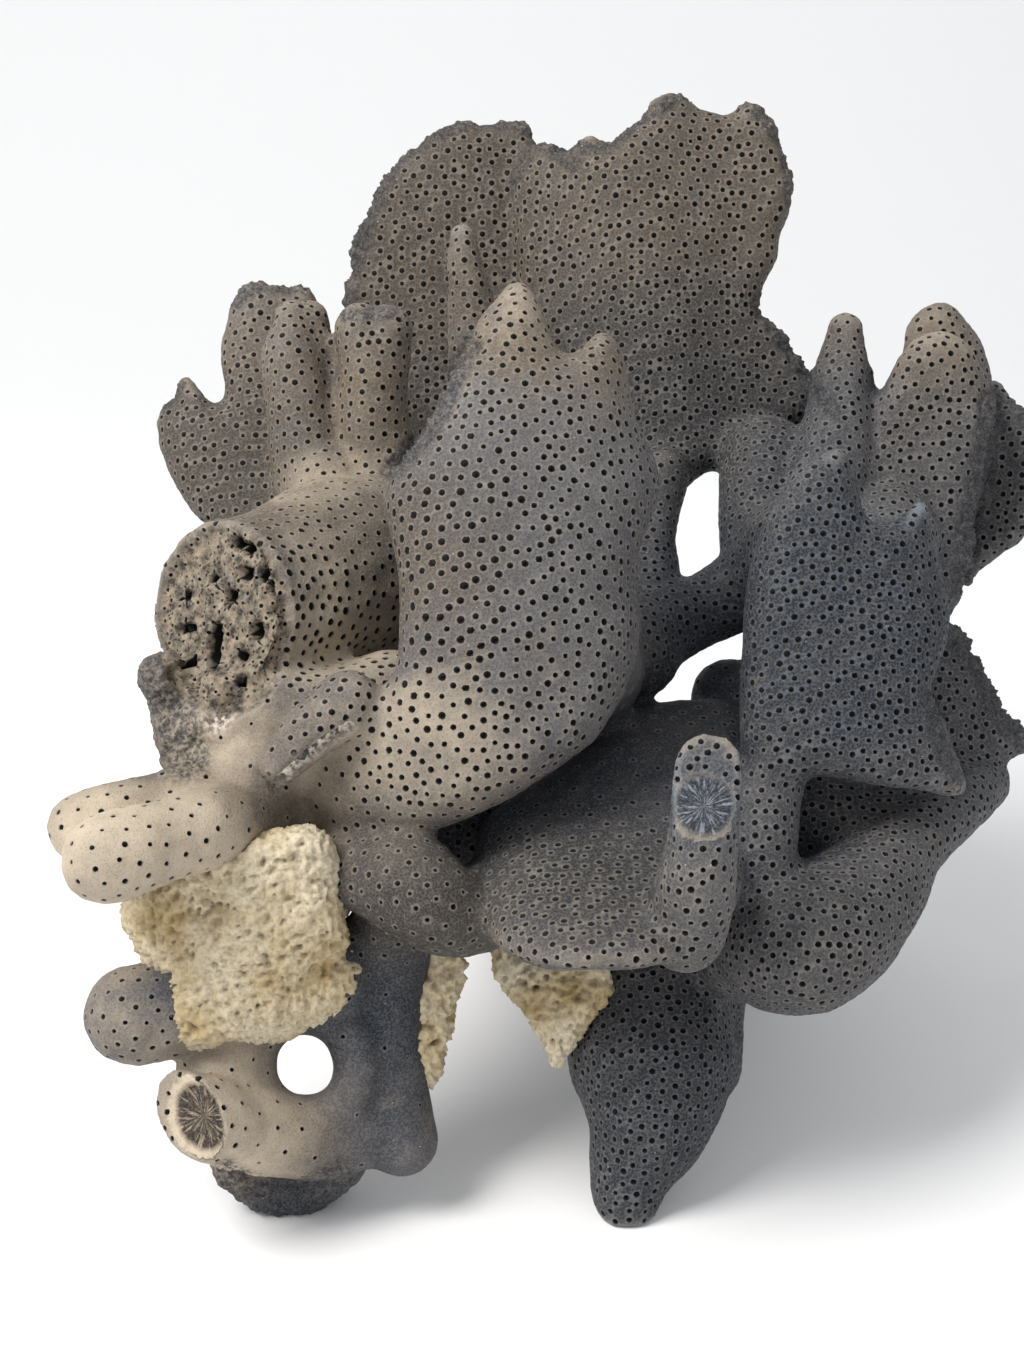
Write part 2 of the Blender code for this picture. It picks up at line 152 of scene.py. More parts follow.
def distance_to(flat_places, line):
    """Gives how far each flat place is from an open line."""
    nearest = np.full(len(flat_places), np.inf)
    for start, end in zip(line[:-1], line[1:]):
        along = np.subtract(end, start)
        share = np.clip((flat_places - start) @ along / max(along @ along, 1e-9), 0.0, 1.0)
        gap = flat_places - start - share[:, None] * along
        nearest = np.minimum(nearest, np.linalg.norm(gap, axis=1))
    return nearest


def frond(outline, depth, thickness, rounding=4.0, ragged=0.0):
    line = smooth_line(outline, ragged)
    curve = bpy.data.curves.new("frond", "CURVE")
    curve.dimensions = "2D"
    curve.fill_mode = "BOTH"
    curve.extrude = 0.5 * thickness
    spline = curve.splines.new("POLY")
    spline.points.add(len(line) - 1)
    for point, (across, up) in zip(spline.points, line):
        point.co = (across, up, 0.0, 1.0)
    spline.use_cyclic_u = True
    mesh = remeshed(made_mesh(placed("frond", curve)), SHAPE_VOXEL)
    places = np.array([vertex.co[:] for vertex in mesh.vertices])
    share = np.clip(distance_to(places[:, :2], line + line[:1]) / rounding, 0.0, 1.0)
    swell = EDGE_THICKNESS + (1.0 - EDGE_THICKNESS) * np.sqrt(1.0 - (1.0 - share) ** 2)
    for vertex, (across, up, through), fullness in zip(mesh.vertices, places.tolist(), swell.tolist()):
        vertex.co = in_space(across, up, depth(across, up) - through * fullness)
    return [mesh]


def ball(across, up, depth, radius):
    mesh = bpy.data.meshes.new("ball")
    edit = bmesh.new()
    size = radius * (1.0 + depth / VIEW_DISTANCE)
    bmesh.ops.create_uvsphere(edit, u_segments=32, v_segments=20, radius=size)
    bmesh.ops.translate(edit, verts=edit.verts, vec=in_space(across, up, depth))
    edit.to_mesh(mesh)
    edit.free()
    return [mesh]


def finger(route):
    curve = bpy.data.curves.new("finger", "CURVE")
    curve.dimensions = "3D"
    curve.bevel_depth = 1.0
    curve.bevel_resolution = 6
    curve.resolution_u = 10
    curve.use_fill_caps = True
    spline = curve.splines.new("BEZIER")
    spline.bezier_points.add(len(route) - 1)
    for point, (across, up, depth, radius) in zip(spline.bezier_points, route):
        point.co = in_space(across, up, depth)
        point.radius = radius * (1.0 + depth / VIEW_DISTANCE)
        point.handle_left_type = "AUTO"
        point.handle_right_type = "AUTO"
    return [made_mesh(placed("finger", curve))] + ball(*route[0]) + ball(*route[-1])


def cut_by_plane(mesh, point, facing):
    """Takes away what lies beyond a plane, and closes the cut."""
    edit = bmesh.new()
    edit.from_mesh(mesh)
    bmesh.ops.remove_doubles(edit, verts=edit.verts, dist=WELD)
    geometry = edit.verts[:] + edit.edges[:] + edit.faces[:]
    bmesh.ops.bisect_plane(edit, geom=geometry, dist=WELD, plane_co=point, plane_no=facing,
                           clear_outer=True)
    bmesh.ops.holes_fill(edit, edges=edit.edges)
    bmesh.ops.recalc_face_normals(edit, faces=edit.faces)
    edit.to_mesh(mesh)
    edit.free()


def broken_off(meshes, point, towards):
    """Breaks meshes off flat through a picture point, on the side that faces towards."""
    for mesh in meshes:
        cut_by_plane(mesh, in_space(*point), Vector(towards).normalized())
    return meshes


print("shape makers: frond, ball, finger, broken_off")

# %% [markdown]
# The root and the middle. The root is hidden from the front, so its shape is a guess: a thick
# stem that leans forward from the rock it grew on and forks under every leaf. The shelf in front
# of it is one leaf that rises away from its thick lip like the side of a bowl. A short stub stands
# on its right end, and its top broke off.

# %% Root, shelf, stub and brown lobe
coral = []
coral += finger([(10, -31, 64, 15), (10, -27, 42, 13), (9, -17, 16, 13), (8, 0, 8, 12), (7, 14, 6, 9)])
coral += finger([(26, -30, 62, 11), (14, -26, 40, 12)])
coral += finger([(-6, -2, 4, 11), (-22, 6, 6, 12)])
coral += finger([(12, -14, 10, 11), (28, -16, 4, 10)])
coral += finger([(-17, -23, -6, 8), (-4, -21, 0, 10), (6, -18, 8, 11)])

SHELF = [(-6, -28), (-5, -35), (-2, -39.5), (5, -42.5), (13, -43), (21, -42.5), (28, -40), (33, -35),
         (35, -28), (35, -18), (36, -9), (34, -3), (27, -2.5), (19, -4), (13, -8), (7, -12),
         (1, -16.5), (-4, -21)]


def shelf_depth(across, up):
    return -34.0 + 1.05 * (up + 36.0) + 0.012 * (across - 15.0) ** 2


coral += frond(SHELF, shelf_depth, 14.0, 7.0)
STUB_BREAK = (28.8, -18.5, -45)
STUB_FACING = (-0.12, -0.86, 0.5)
coral += broken_off(finger([(26, -37, -36, 6.5), (27.5, -30, -40, 6.2), (28.8, -23, -42, 5.5),
                            (29.5, -12, -44, 5)]), STUB_BREAK, STUB_FACING)
coral += finger([(-24, -28, -24, 6), (-16, -30, -27, 8), (-10, -34, -28, 7), (-6, -34, -20, 7)])
print("shapes so far:", len(coral))

# %% [markdown]
# The big front leaf is nearest to the eye, so its outline carries the picture: two round tips
# with a notch between them, a broken ridge down the left edge, a small lobe low at the left.

# %% Front leaf
FRONT_LEAF = [(-2, 58), (0.5, 60.3), (3, 59), (4.8, 55), (6, 51), (8, 48.6), (10.5, 50), (13, 52.8),
              (15.5, 51.5), (17, 46.5), (19, 39.5), (21.5, 34.5), (22.5, 30.5), (21, 25), (19, 20),
              (18.7, 14), (19, 8), (18, 2.5), (16, -3.5), (12.5, -8.5), (6.5, -13), (-0.5, -17.5), (-8, -21),
              (-17, -23), (-26.5, -23.5), (-33.5, -20), (-37.3, -16), (-37, -12.5), (-34, -9),
              (-30, -5.5), (-25, -2), (-20, -1), (-17.5, 2), (-16.5, 8), (-17, 14.5), (-18.2, 21.5),
              (-19.7, 28), (-18.3, 31.5), (-16, 33.5), (-14, 36.5), (-11, 41), (-8.5, 45.5),
              (-6.5, 50.5), (-4.5, 55)]


def front_leaf_depth(across, up):
    return -33.0 + 0.012 * (across + 4.0) ** 2 + 0.004 * (up - 15.0) ** 2


coral += frond(FRONT_LEAF, front_leaf_depth, 10.5, 5.5)
coral += finger([(10, 5, -26, 8), (10, 2, -6, 10)])
print("front leaf reaches up to", max(up for across, up in FRONT_LEAF), "mm over the middle")

# %% [markdown]
# The left side: a branch as thick as a wrist joint broke off square, and its round end face looks
# to the front left. A short finger stands on its shoulder, a thin blade with two ribs rises behind
# it, and a crumbly lump hangs on under the break. The paired lobes below are the smoothest part.

# %% Cut branch, fingers and blade at the left
BRANCH_BREAK = (-43.5, 10.9, -23)
BRANCH_FACING = (-0.6, -0.74, 0.27)
branch = finger([(-45, 10.5, -22, 13.4), (-36, 12.5, -13, 13.6), (-25, 17, -3, 14), (-12, 20, 5, 12)])
coral += broken_off(branch, BRANCH_BREAK, BRANCH_FACING)
coral += ball(-52.2, 0.6, -20, 4.0)
coral += finger([(-51, -3, -18, 4.0), (-49, -9, -20, 4.4)])
coral += finger([(-40, -4, -20, 9), (-29, -7, -20, 10), (-18, -4, -16, 9)])
coral += finger([(-48, -6, -17, 5), (-46, -14, -22, 5), (-38, -14, -24, 7)])
coral += ball(-28, 30, 1, 6)
coral += finger([(-23, 53, 0, 3.8), (-21, 47, 1, 5.2), (-21, 40, 2, 5.5), (-20, 32, 3, 6), (-19, 25, 4, 6)])
coral += finger([(-18.5, 53, 0, 3.6), (-20, 46, 1, 4.5)])

LEFT_BLADE = [(-49, 46), (-47.5, 44.5), (-46.5, 43), (-44.5, 41.5), (-43, 42), (-43, 45), (-44, 48),
              (-44, 51.5), (-43.2, 53), (-42, 57), (-40.5, 59), (-38, 60), (-34, 59.3), (-31, 59.5),
              (-29.5, 57.5), (-28, 51.5), (-24.5, 41), (-25, 33), (-28, 22), (-39.5, 20), (-47, 24.5),
              (-50, 28.5), (-52, 33), (-53, 37), (-52.5, 41), (-50.7, 42.3)]


def left_blade_depth(across, up):
    return 10.0 + 0.08 * (up - 40.0) + 0.01 * (across + 36.0) ** 2


coral += frond(LEFT_BLADE, left_blade_depth, 6.5, 3.5, 0.7)
coral += finger([(-33, 54.5, 3, 3), (-33, 49, 2, 4.6), (-32, 43, 2, 5.2), (-31, 36, 3, 5.7), (-30, 30, 4, 6)])
coral += finger([(-30.5, 54.5, 4, 3), (-30, 46, 4, 4.4), (-28.5, 38, 5, 5)])
coral += finger([(-60.5, -26.5, -41, 7.1), (-53, -24, -38, 6.3), (-44, -21.5, -31, 6.2),
                 (-36, -20.5, -21, 6), (-28, -19, -12, 6)])
coral += finger([(-64, -21.8, -32, 5.4), (-54, -18.5, -29, 5), (-44, -16.5, -25, 5.5), (-36, -15, -19, 6)])
coral += finger([(-34.6, -11.8, -33, 3.6), (-30.5, -7.5, -33, 4.4), (-25, -3.5, -31, 5.5)])
print("shapes so far:", len(coral))

# %% [markdown]
# The back leaves. The right one hangs in shallow folds, so a cosine bends its depth. The left one
# stands behind it, and its left edge is broken. A slim finger grows between them and the front.

# %% Leaves at the back
BACK_RIGHT = [(0, 74.5), (0.3, 78), (1.5, 80), (5, 81.7), (7.5, 80), (10, 80.3), (11.5, 82.7), (14, 80),
              (16.5, 82), (19.5, 84.5), (21, 87.5), (25, 88.2), (28, 86.3), (32.5, 85.3), (36, 87),
              (39, 84.5), (41, 80), (42, 71.5), (40.5, 68), (39.5, 63.5), (37.5, 59), (36.5, 55.5),
              (38.5, 54), (41.5, 50.5), (44, 46.5), (48.2, 40.8), (45.5, 39.8), (42, 38), (40.5, 34),
              (37, 30.5), (32, 31.5), (26.5, 30), (19, 20), (9, 20), (5, 36.5), (2.5, 45.5), (1.5, 57.5),
              (0.5, 66.5)]
BACK_LEFT = [(-25, 56.5), (-24.7, 60), (-23.8, 61.5), (-23.6, 65), (-21.5, 70), (-19.5, 75), (-16.5, 78.5),
             (-12.5, 81.5), (-7.5, 84), (-2, 84), (3, 83), (4, 45.5), (2, 27), (-6, 20), (-13, 26),
             (-17, 38), (-22, 48.5)]


def back_right_depth(across, up):
    return 22.0 - 0.1 * (up - 30.0) + 0.006 * (across - 22.0) ** 2 - 1.4 * math.cos(across / 5.0 + up / 25.0)


def back_left_depth(across, up):
    return 29.0 - 0.12 * (up - 30.0) + 0.008 * (across + 10.0) ** 2


coral += frond(BACK_RIGHT, back_right_depth, 7.5, 3.5, 1.0)
coral += finger([(10, 26, 18, 7), (8, 10, 12, 8)])
coral += frond(BACK_LEFT, back_left_depth, 7.0, 3.0, 1.1)
coral += finger([(-4, 26, 22, 7), (0, 10, 12, 8)])
coral += finger([(-7.3, 67, 8, 2.2), (-7, 63, 8, 2.8), (-6, 56, 9, 3.6), (-5, 46, 10, 4.4), (-4, 36, 10, 5),
                 (-3, 24, 6, 6)])
print("shapes so far:", len(coral))

# %% [markdown]
# The right side: an upright leaf in front, blades one behind the other at the back, a heavy lobe
# below, and a pointed foot that stands on its tip. A bridge behind leaves two openings to look
# through, one above it and one below.

# %% Right side
RIGHT_LEAF = [(41.5, 31), (44, 33), (46.5, 34.2), (49, 35.2), (50.3, 33.2), (51.6, 29), (53.3, 24.4),
              (55.5, 23.6), (58.5, 24.8), (61.7, 27.2), (62.6, 23.5), (64, 19), (65, 14), (65.5, 9),
              (64.5, 4), (63, -1), (63.5, -3.5), (65, -6), (66.5, -10.5), (68.2, -15.5), (67, -17), (61, -16),
              (53.5, -15), (46, -14), (41, -16), (38, -20), (35.5, -16), (34, -8.5), (34, -1), (34.5, 6.5),
              (35.5, 14), (36.5, 19), (38.5, 25.5)]
TALL_BLADE = [(58.5, 49.5), (60.5, 51.5), (64, 52.7), (67.5, 51.5), (70.5, 47.5), (72, 43), (72, 40.5),
              (71, 36.5), (70, 30.5), (69, 24.5), (68, 13.5), (65.5, 10), (60.5, 6), (54.5, 10),
              (52.5, 21.5), (52.5, 29), (53, 35.5), (54.5, 41), (56.5, 46)]
LOW_BLADE = [(59, 52), (61.5, 55.5), (65, 56.7), (68, 54.5), (70.5, 50.5), (72, 44.5), (71, 30), (66, 18),
             (60, 15), (57, 30)]
FAR_BLADE = [(69.5, 42.5), (72, 45), (74.5, 43.5), (77, 40.5), (79, 35.5), (80, 29), (78.5, 24), (74, 20),
             (66, 14), (60, 14), (62, 30)]
TORN_BLADE = [(60, 12), (65.5, 8.5), (69.5, 4), (71.5, -0.5), (74.5, -4.5), (78, -8.5), (77, -10.5),
              (74, -11.5), (70, -13), (66, -16), (58, -14), (54, -4), (55, 6)]


def right_leaf_depth(across, up):
    return -18.0 + 0.03 * up + 0.011 * (across - 46.0) ** 2


def tall_blade_depth(across, up):
    return 14.0 - 0.1 * (up - 30.0) + 0.012 * (across - 62.0) ** 2


def low_blade_depth(across, up):
    return 24.0 - 0.1 * (up - 30.0) + 0.01 * (across - 62.0) ** 2


def far_blade_depth(across, up):
    return 31.0 - 0.5 * (across - 70.0) - 0.1 * (up - 30.0)


def torn_blade_depth(across, up):
    return 6.0 + 0.35 * (across - 68.0)


coral += frond(RIGHT_LEAF, right_leaf_depth, 9.0, 4.5)
coral += finger([(38, -15, -16, 6), (37, -25, -17, 6), (37, -36, -14, 7)])
coral += finger([(35, -40, -12, 8), (43, -39, -17, 11.5), (50.5, -34, -13, 10), (59.5, -23.5, -6, 6),
                 (66, -18, 0, 5.2), (70, -15, 8, 4.8)])
coral += finger([(21, -46, -2, 12), (21, -57, -6, 13), (20, -67, -9, 9.5), (17.5, -75, -10, 6),
                 (17, -80, -10, 4.5)])
coral += finger([(28, -57, -4, 6.5), (27, -47, 0, 8)])
coral += finger([(17, 6, 4, 9), (22, 8.5, 6, 7), (29, 11, 8, 5.5), (36, 15, 7, 6), (42, 20, 4, 8)])
coral += finger([(22, 31, 17, 4.5), (20.5, 22, 12, 4.2), (19.5, 12, 8, 6)])
coral += finger([(38, 33, 18, 7), (36.5, 25, 12, 5.5), (37, 16, 8, 5)])
coral += finger([(32, -2, 10, 5.5), (42, -4, 8, 9), (50, 6, 6, 9), (54, 16, 8, 9), (56, 22, 12, 8)])
coral += finger([(40, -10, 6, 9), (46, -20, 0, 9), (54, -22, -2, 7), (60, -16, 2, 6)])
coral += finger([(50, 53, 14, 2.8), (49.5, 47, 14, 4.2), (48.5, 38, 13, 5.3), (46.5, 27, 11, 6.5),
                 (45, 18, 8, 6.5)])
coral += finger([(52, 46, 16, 2.4), (52, 38, 15, 3.2), (51, 28, 14, 5)])
coral += frond(TALL_BLADE, tall_blade_depth, 7.0, 3.5, 0.5)
coral += frond(LOW_BLADE, low_blade_depth, 6.5, 3.0, 0.5)
coral += frond(FAR_BLADE, far_blade_depth, 6.5, 3.0, 0.9)
coral += frond(TORN_BLADE, torn_blade_depth, 8.0, 3.0, 1.0)
print("shapes so far:", len(coral))

# %% [markdown]
# The cluster at the lower left is older growth: round lobes, a dark column and a bar round a small
# opening. The bar's left end broke off, and so did the blue foot that it stands on. A ring of
# short tubes gives the opening its round wall.

# %% Lower left cluster
BAR_BREAK = (-46.7, -65.2, -31)
BAR_FACING = (-0.5, -0.84, 0.2)
OPENING = (-30.9, -57.4, -18.0)
OPENING_RADIUS = 4.5
WALL_RADIUS = 3.6


def ring_wall():
    """Gives the places round the small opening, as a route for a closed finger."""
    across, up, depth = OPENING
    reach = OPENING_RADIUS + WALL_RADIUS
    angles = [math.radians(45.0 * step) for step in range(9)]
    return [(across + reach * math.cos(angle), up + reach * math.sin(angle), depth, WALL_RADIUS)
            for angle in angles]


coral += finger(ring_wall())
coral += finger([(-17, -34, -18, 7), (-19, -42, -14, 6.5), (-19.5, -50, -13, 6.3), (-18.5, -59, -13, 6),
                 (-17, -68, -13, 6)])
coral += finger([(-23, -67, -14, 6.3), (-18, -66, -13, 6)])
coral += finger([(-56.5, -50, -24, 7.5), (-48, -48, -22, 7.5), (-38, -45, -20, 8), (-27, -43, -17, 7.5)])
coral += finger([(-43, -48, -19, 6.5), (-43.5, -58, -19, 6.5)])
coral += broken_off(finger([(-51, -64.2, -31, 6.4), (-46.6, -65.2, -28, 6.6), (-40, -66.8, -22, 6.6),
                            (-31, -68.3, -17, 6.2), (-26, -68, -15, 6)]), BAR_BREAK, BAR_FACING)
coral += finger([(-41, -71.5, -12, 4.6), (-34, -75, -8, 5.2), (-26, -71.5, -10, 4.6)])
coral += finger([(-34, -74, -8, 4.8), (-34, -80, -6, 4.4)])
print("coral shapes:", len(coral))

# %% [markdown]
# Cream lime crusts and sponges settled on the lower branches after they died. They are shaped the
# same way, and kept apart from the coral, because their surface is made another way. A tube a
# little wider than the lower lobe lays a thin skin of lime over part of it.

# %% Lime shapes
CRUST = [(-58.5, -34), (-54.5, -30.5), (-42.5, -24), (-28, -22.5), (-26, -29.5), (-25, -36.5),
         (-27, -42.5), (-38, -49), (-47, -48), (-54, -43), (-55.5, -40)]
STRIP = [(-16.5, -38), (-11, -37), (-7, -41), (-8, -47.5), (-10, -55), (-12, -60.5), (-15, -59),
         (-17.5, -49)]
WEDGE = [(-3, -37), (4, -36), (14, -40), (14.5, -46), (12, -50), (9, -54.5), (6.5, -58.5),
         (4.5, -54.5), (1.5, -49), (-1.5, -44.5)]


def crust_depth(across, up):
    return -27.0 - 0.25 * (up + 36.0) + 0.01 * (across + 40.0) ** 2


def strip_depth(across, up):
    return -12.0 + 0.3 * (across + 12.0)


def wedge_depth(across, up):
    return -12.0 - 0.1 * (across - 5.0)


lime = []
lime += frond(CRUST, crust_depth, 9.0, 4.0, 1.4)
lime += finger([(-45, -30, -20, 8), (-32, -30, -18, 8)])
lime += finger([(-46, -47.2, -23.2, 7.6), (-38, -45.5, -21.6, 8.1), (-30.5, -43.5, -19.4, 8.0)])
lime += frond(STRIP, strip_depth, 5.0, 2.5, 1.0)
lime += frond(WEDGE, wedge_depth, 5.0, 2.5, 1.2)
print("lime shapes:", len(lime))

# %% [markdown]
# The coral is one grown thing, so all its shapes are fused before anything else. A voxel remesh
# does that, and gives an even grid of square faces. Where two branches meet it leaves a sharp
# crease, which real growth fills. Moving only the hollow places outward, step by step, fills the
# creases and leaves every tip at its full length. Slow noise then makes the skin uneven, because
# no grown surface is a true curve.

# %% Fuse the shapes and fill the forks
FORK_VOXEL = 0.8
FINE_VOXEL = 0.5
FORK_STEPS = 32
SHARP_HOLLOW = 0.085
FILL_SHARE = 0.7
SWELLS = ((12.0, 0.55), (4.5, 0.28))


def joined(meshes):
    """Puts the meshes in one, each cut flat at the resting plane."""
    edit = bmesh.new()
    for mesh in meshes:
        if min(vertex.co.z for vertex in mesh.vertices) < 0.0:
            cut_by_plane(mesh, Vector((0.0, 0.0, 0.0)), Vector((0.0, 0.0, -1.0)))
        edit.from_mesh(mesh)
        bpy.data.meshes.remove(mesh)
    mesh = bpy.data.meshes.new("joined")
    edit.to_mesh(mesh)
    edit.free()
    return mesh


def grid_of(mesh):
    """Gives a quad mesh as arrays of places and faces."""
    places = np.empty(len(mesh.vertices) * 3)
    mesh.vertices.foreach_get("co", places)
    faces = np.empty(len(mesh.loops), dtype=np.int64)
    mesh.loops.foreach_get("vertex_index", faces)
    return places.reshape(-1, 3), faces.reshape(-1, 4)


def grid_edges(faces):
    pairs = np.concatenate([faces[:, [0, 1]], faces[:, [1, 2]], faces[:, [2, 3]], faces[:, [3, 0]]])
    return np.unique(np.sort(pairs, axis=1), axis=0)


def summed(index, values, count):
    return np.stack([np.bincount(index, values[:, axis], count) for axis in range(3)], axis=1)


def grid_normals(places, faces):
    across = places[faces[:, 2]] - places[faces[:, 0]]
    along = places[faces[:, 3]] - places[faces[:, 1]]
    facing = np.cross(across, along)
    normals = summed(faces.ravel(), np.repeat(facing, 4, axis=0), len(places))
    return normals / np.maximum(np.linalg.norm(normals, axis=1, keepdims=True), 1e-12)


def towards_neighbours(places, edges):
    """Gives the step from each place to the middle of its neighbours."""
    count = len(places)
    total = summed(edges[:, 0], places[edges[:, 1]], count) + summed(edges[:, 1], places[edges[:, 0]], count)
    number = np.bincount(edges.ravel(), minlength=count)
    return total / number[:, None] - places


def fill_hollows(places, faces, steps):
    edges = grid_edges(faces)
    for step in range(steps):
        pull = towards_neighbours(places, edges)
        normals = grid_normals(places, faces)
        outward = np.sum(pull * normals, axis=1) - SHARP_HOLLOW
        places = places + normals * np.maximum(outward, 0.0)[:, None] * FILL_SHARE
    return places


def smoothed(places, faces, steps, share=0.5):
    edges = grid_edges(faces)
    for step in range(steps):
        places = places + share * towards_neighbours(places, edges)
    return places


def uneven(places, faces):
    heights = np.zeros(len(places))
    for length, amount in SWELLS:
        heights += amount * np.array([noise.noise(Vector(place) / length) for place in places.tolist()])
    return places + grid_normals(places, faces) * heights[:, None]


def mesh_of(name, places, faces):
    mesh = bpy.data.meshes.new(name)
    mesh.from_pydata(places.tolist(), [], faces.tolist())
    return mesh


rough_places, rough_faces = grid_of(remeshed(joined(coral), FORK_VOXEL))
rough_places = fill_hollows(rough_places, rough_faces, FORK_STEPS)
rough_places = uneven(rough_places, rough_faces)
fine = remeshed(mesh_of("filled", rough_places, rough_faces), FINE_VOXEL)
places, faces = grid_of(fine)
places = smoothed(places, faces, 2)
bpy.data.meshes.remove(fine)
print("coral grid:", len(places), "points,", len(faces), "faces")
print("coral size, mm:", np.round(places.max(axis=0) - places.min(axis=0), 1))

# %% [markdown]
# Two things about each place steer the finish. One is how sharply the surface bends: growing
# edges and tips bend outward, and forks bend inward. The other is how open the place is, which
# says where light and dust reached it. It could be baked, but a few rays cast from each place
# against the rough surface give it as a number that the colours use.

# %% Bend and openness of every place
RAY_LENGTH = 22.0
RAY_START = 0.6
RAY_COUNT = 16
SAMPLE_STEP = 4
BEND_STEPS = 6
OPEN_STEPS = 10


def spread_out(values, edges, steps, share=0.6):
    """Evens out one value over the grid."""
    number = np.bincount(edges.ravel(), minlength=len(values))
    for step in range(steps):
        total = np.bincount(edges[:, 0], values[edges[:, 1]], len(values))
        total += np.bincount(edges[:, 1], values[edges[:, 0]], len(values))
        values = values + share * (total / number - values)
    return values


def ray_directions():
    """Gives directions spread evenly over the sphere, on a golden spiral."""
    turn = math.pi * (3.0 - math.sqrt(5.0))
    heights = [1.0 - 2.0 * (k + 0.5) / RAY_COUNT for k in range(RAY_COUNT)]
    widths = [math.sqrt(1.0 - height * height) for height in heights]
    return [Vector((width * math.cos(turn * k), width * math.sin(turn * k), height))
            for k, (width, height) in enumerate(zip(widths, heights))]


def openness(places, faces, normals, samples):
    """Gives the share of rays that leave each sampled place freely."""
    tree = BVHTree.FromPolygons(places.tolist(), faces.tolist())
    directions = ray_directions()
    free = []
    for point in samples:
        normal = Vector(normals[point])
        start = Vector(places[point]) + normal * RAY_START
        rays = [way for way in directions if way.dot(normal) > 0.1]
        misses = [tree.ray_cast(start, way, RAY_LENGTH)[0] is None for way in rays]
        free.append(sum(misses) / len(rays))
    return free


def nearest_sample(samples, targets):
    tree = kdtree.KDTree(len(samples))
    for index, place in enumerate(samples.tolist()):
        tree.insert(place, index)
    tree.balance()
    return [tree.find(place)[1] for place in targets.tolist()]


edges = grid_edges(faces)
normals = grid_normals(places, faces)
bend = -4.0 * np.sum(towards_neighbours(places, edges) * normals, axis=1) / FINE_VOXEL ** 2
bend = spread_out(bend, edges, BEND_STEPS)
samples = list(range(0, len(rough_places), SAMPLE_STEP))
free = openness(rough_places, rough_faces, grid_normals(rough_places, rough_faces), samples)
nearest = nearest_sample(rough_places[samples], places)
open_share = spread_out(np.array(free)[nearest], edges, OPEN_STEPS)
print("bend, per mm:", np.round(np.percentile(bend, [5, 50, 95]), 2))
print("openness:", np.round(np.percentile(open_share, [5, 50, 95]), 2))

# %% [markdown]
# Broken places. The edges of several leaves are torn, which leaves a crumbly band of needles, so
# points near lines drawn along those edges are pushed in and out by fine noise. The cut branch
# shows a porous inside with big voids, under a skin that stands up round it as a lip. The other
# two breaks are fresh: there the crystals run out from the middle like spokes.

# %% Break the edges and the ends
TORN_EDGES = [([(-6.3, 50.6), (-8.6, 45.4), (-12.3, 37.9), (-18, 32)], 2.0, (-60, 10), 1.0),
              ([(62.5, -2.2), (64.2, -8.6), (67, -15.5)], 1.7, (-30, 4), 0.7),
              ([(64.5, 9), (69.5, 4), (72, -1.5), (77, -9)], 2.6, (-3, 60), 1.0),
              ([(72, 42.5), (70.5, 30.5), (68.5, 24), (67.5, 14)], 2.2, (4, 60), 1.0),
              ([(76, 42), (79.5, 34), (80, 29)], 1.8, (5, 60), 0.9),
              ([(-18.5, 77.5), (-21.8, 70), (-24.5, 61), (-25, 56)], 2.4, (14, 60), 0.9),
              ([(-18, 78), (-12, 82), (-4, 84.5), (3, 83)], 1.4, (14, 60), 0.6),
              ([(0, 75), (3, 80.5), (10, 80.3), (14, 80), (20, 85), (26, 88.5)], 1.3, (8, 60), 0.7),
              ([(26, 88), (36, 87), (41, 80), (42, 72)], 1.2, (8, 60), 0.6),
              ([(37, 57), (41.5, 50.5), (48, 40.8)], 1.8, (6, 60), 0.8),
              ([(-41.5, 57.4), (-38, 60), (-31, 59.5)], 1.7, (2, 60), 0.9),
              ([(-52.5, 41), (-49, 46)], 1.1, (0, 60), 0.6),
              ([(-25, 55), (-18, 55.5)], 1.2, (-10, 14), 0.5),
              ([(-53, 1), (-51.5, -2), (-50, -8), (-49, -11)], 4.6, (-34, -8), 0.9),
              ([(7, 79.5), (9, 78)], 1.8, (8, 60), 0.7),
              ([(-43, -74), (-34, -79), (-26, -74)], 3.0, (-30, 6), 0.9)]
FOLDS = [([(-35.3, -15.4), (-32, -12.4), (-28.8, -9.4), (-24.3, -6.6)], 0.9),
         ([(-40.6, -1.0), (-44.6, -5.8)], 2.0)]
BREAK_MIDDLE = (-43.2, 9.2)
BREAK_SIZE = (11.0, 15.6)
STUB_RADIUS = 4.7
BAR_RADIUS = 6.0
FACE_DEPTH = 1.6
FOLD_DEPTH = 1.1
POROUS_DEPTH = 1.0
POROUS_CRUMBS = 0.6
VOID_DEPTH = 3.2
SPOKE_HEIGHT = 0.4
STUB_HOLLOW = 0.15
BAR_HOLLOW = 1.3
VOIDS = [(-41.8, 21.3, -41.8, 21.0, 0.8), (-40.1, 20.5, -40.3, 20.2, 0.85), (-40.7, 16.6, -40.7, 16.3, 0.85),
         (-38.1, 16.0, -36.5, 20.0, 0.75), (-36.1, 14.5, -36.3, 14.2, 0.95), (-33.8, 17.3, -33.6, 16.5, 0.8),
         (-36.1, 10.7, -36.3, 10.6, 0.8), (-43.1, 13.2, -43.1, 12.4, 0.65), (-39.0, 8.2, -39.1, 7.3, 0.75),
         (-44.8, 8.2, -45.7, 3.4, 0.75), (-50.3, 8.0, -48.8, 8.3, 0.55), (-45.6, 15.4, -45.4, 15.6, 0.55),
         (-40.5, 1.2, -40.5, 0.8, 0.5), (-46.8, -6.4, -46.6, -6.4, 0.45), (-49.5, 13.0, -49.3, 12.8, 0.5),
         (-41.4, 4.5, -41.0, 4.3, 0.5), (-48.7, 3.4, -48.4, 3.6, 0.5)]


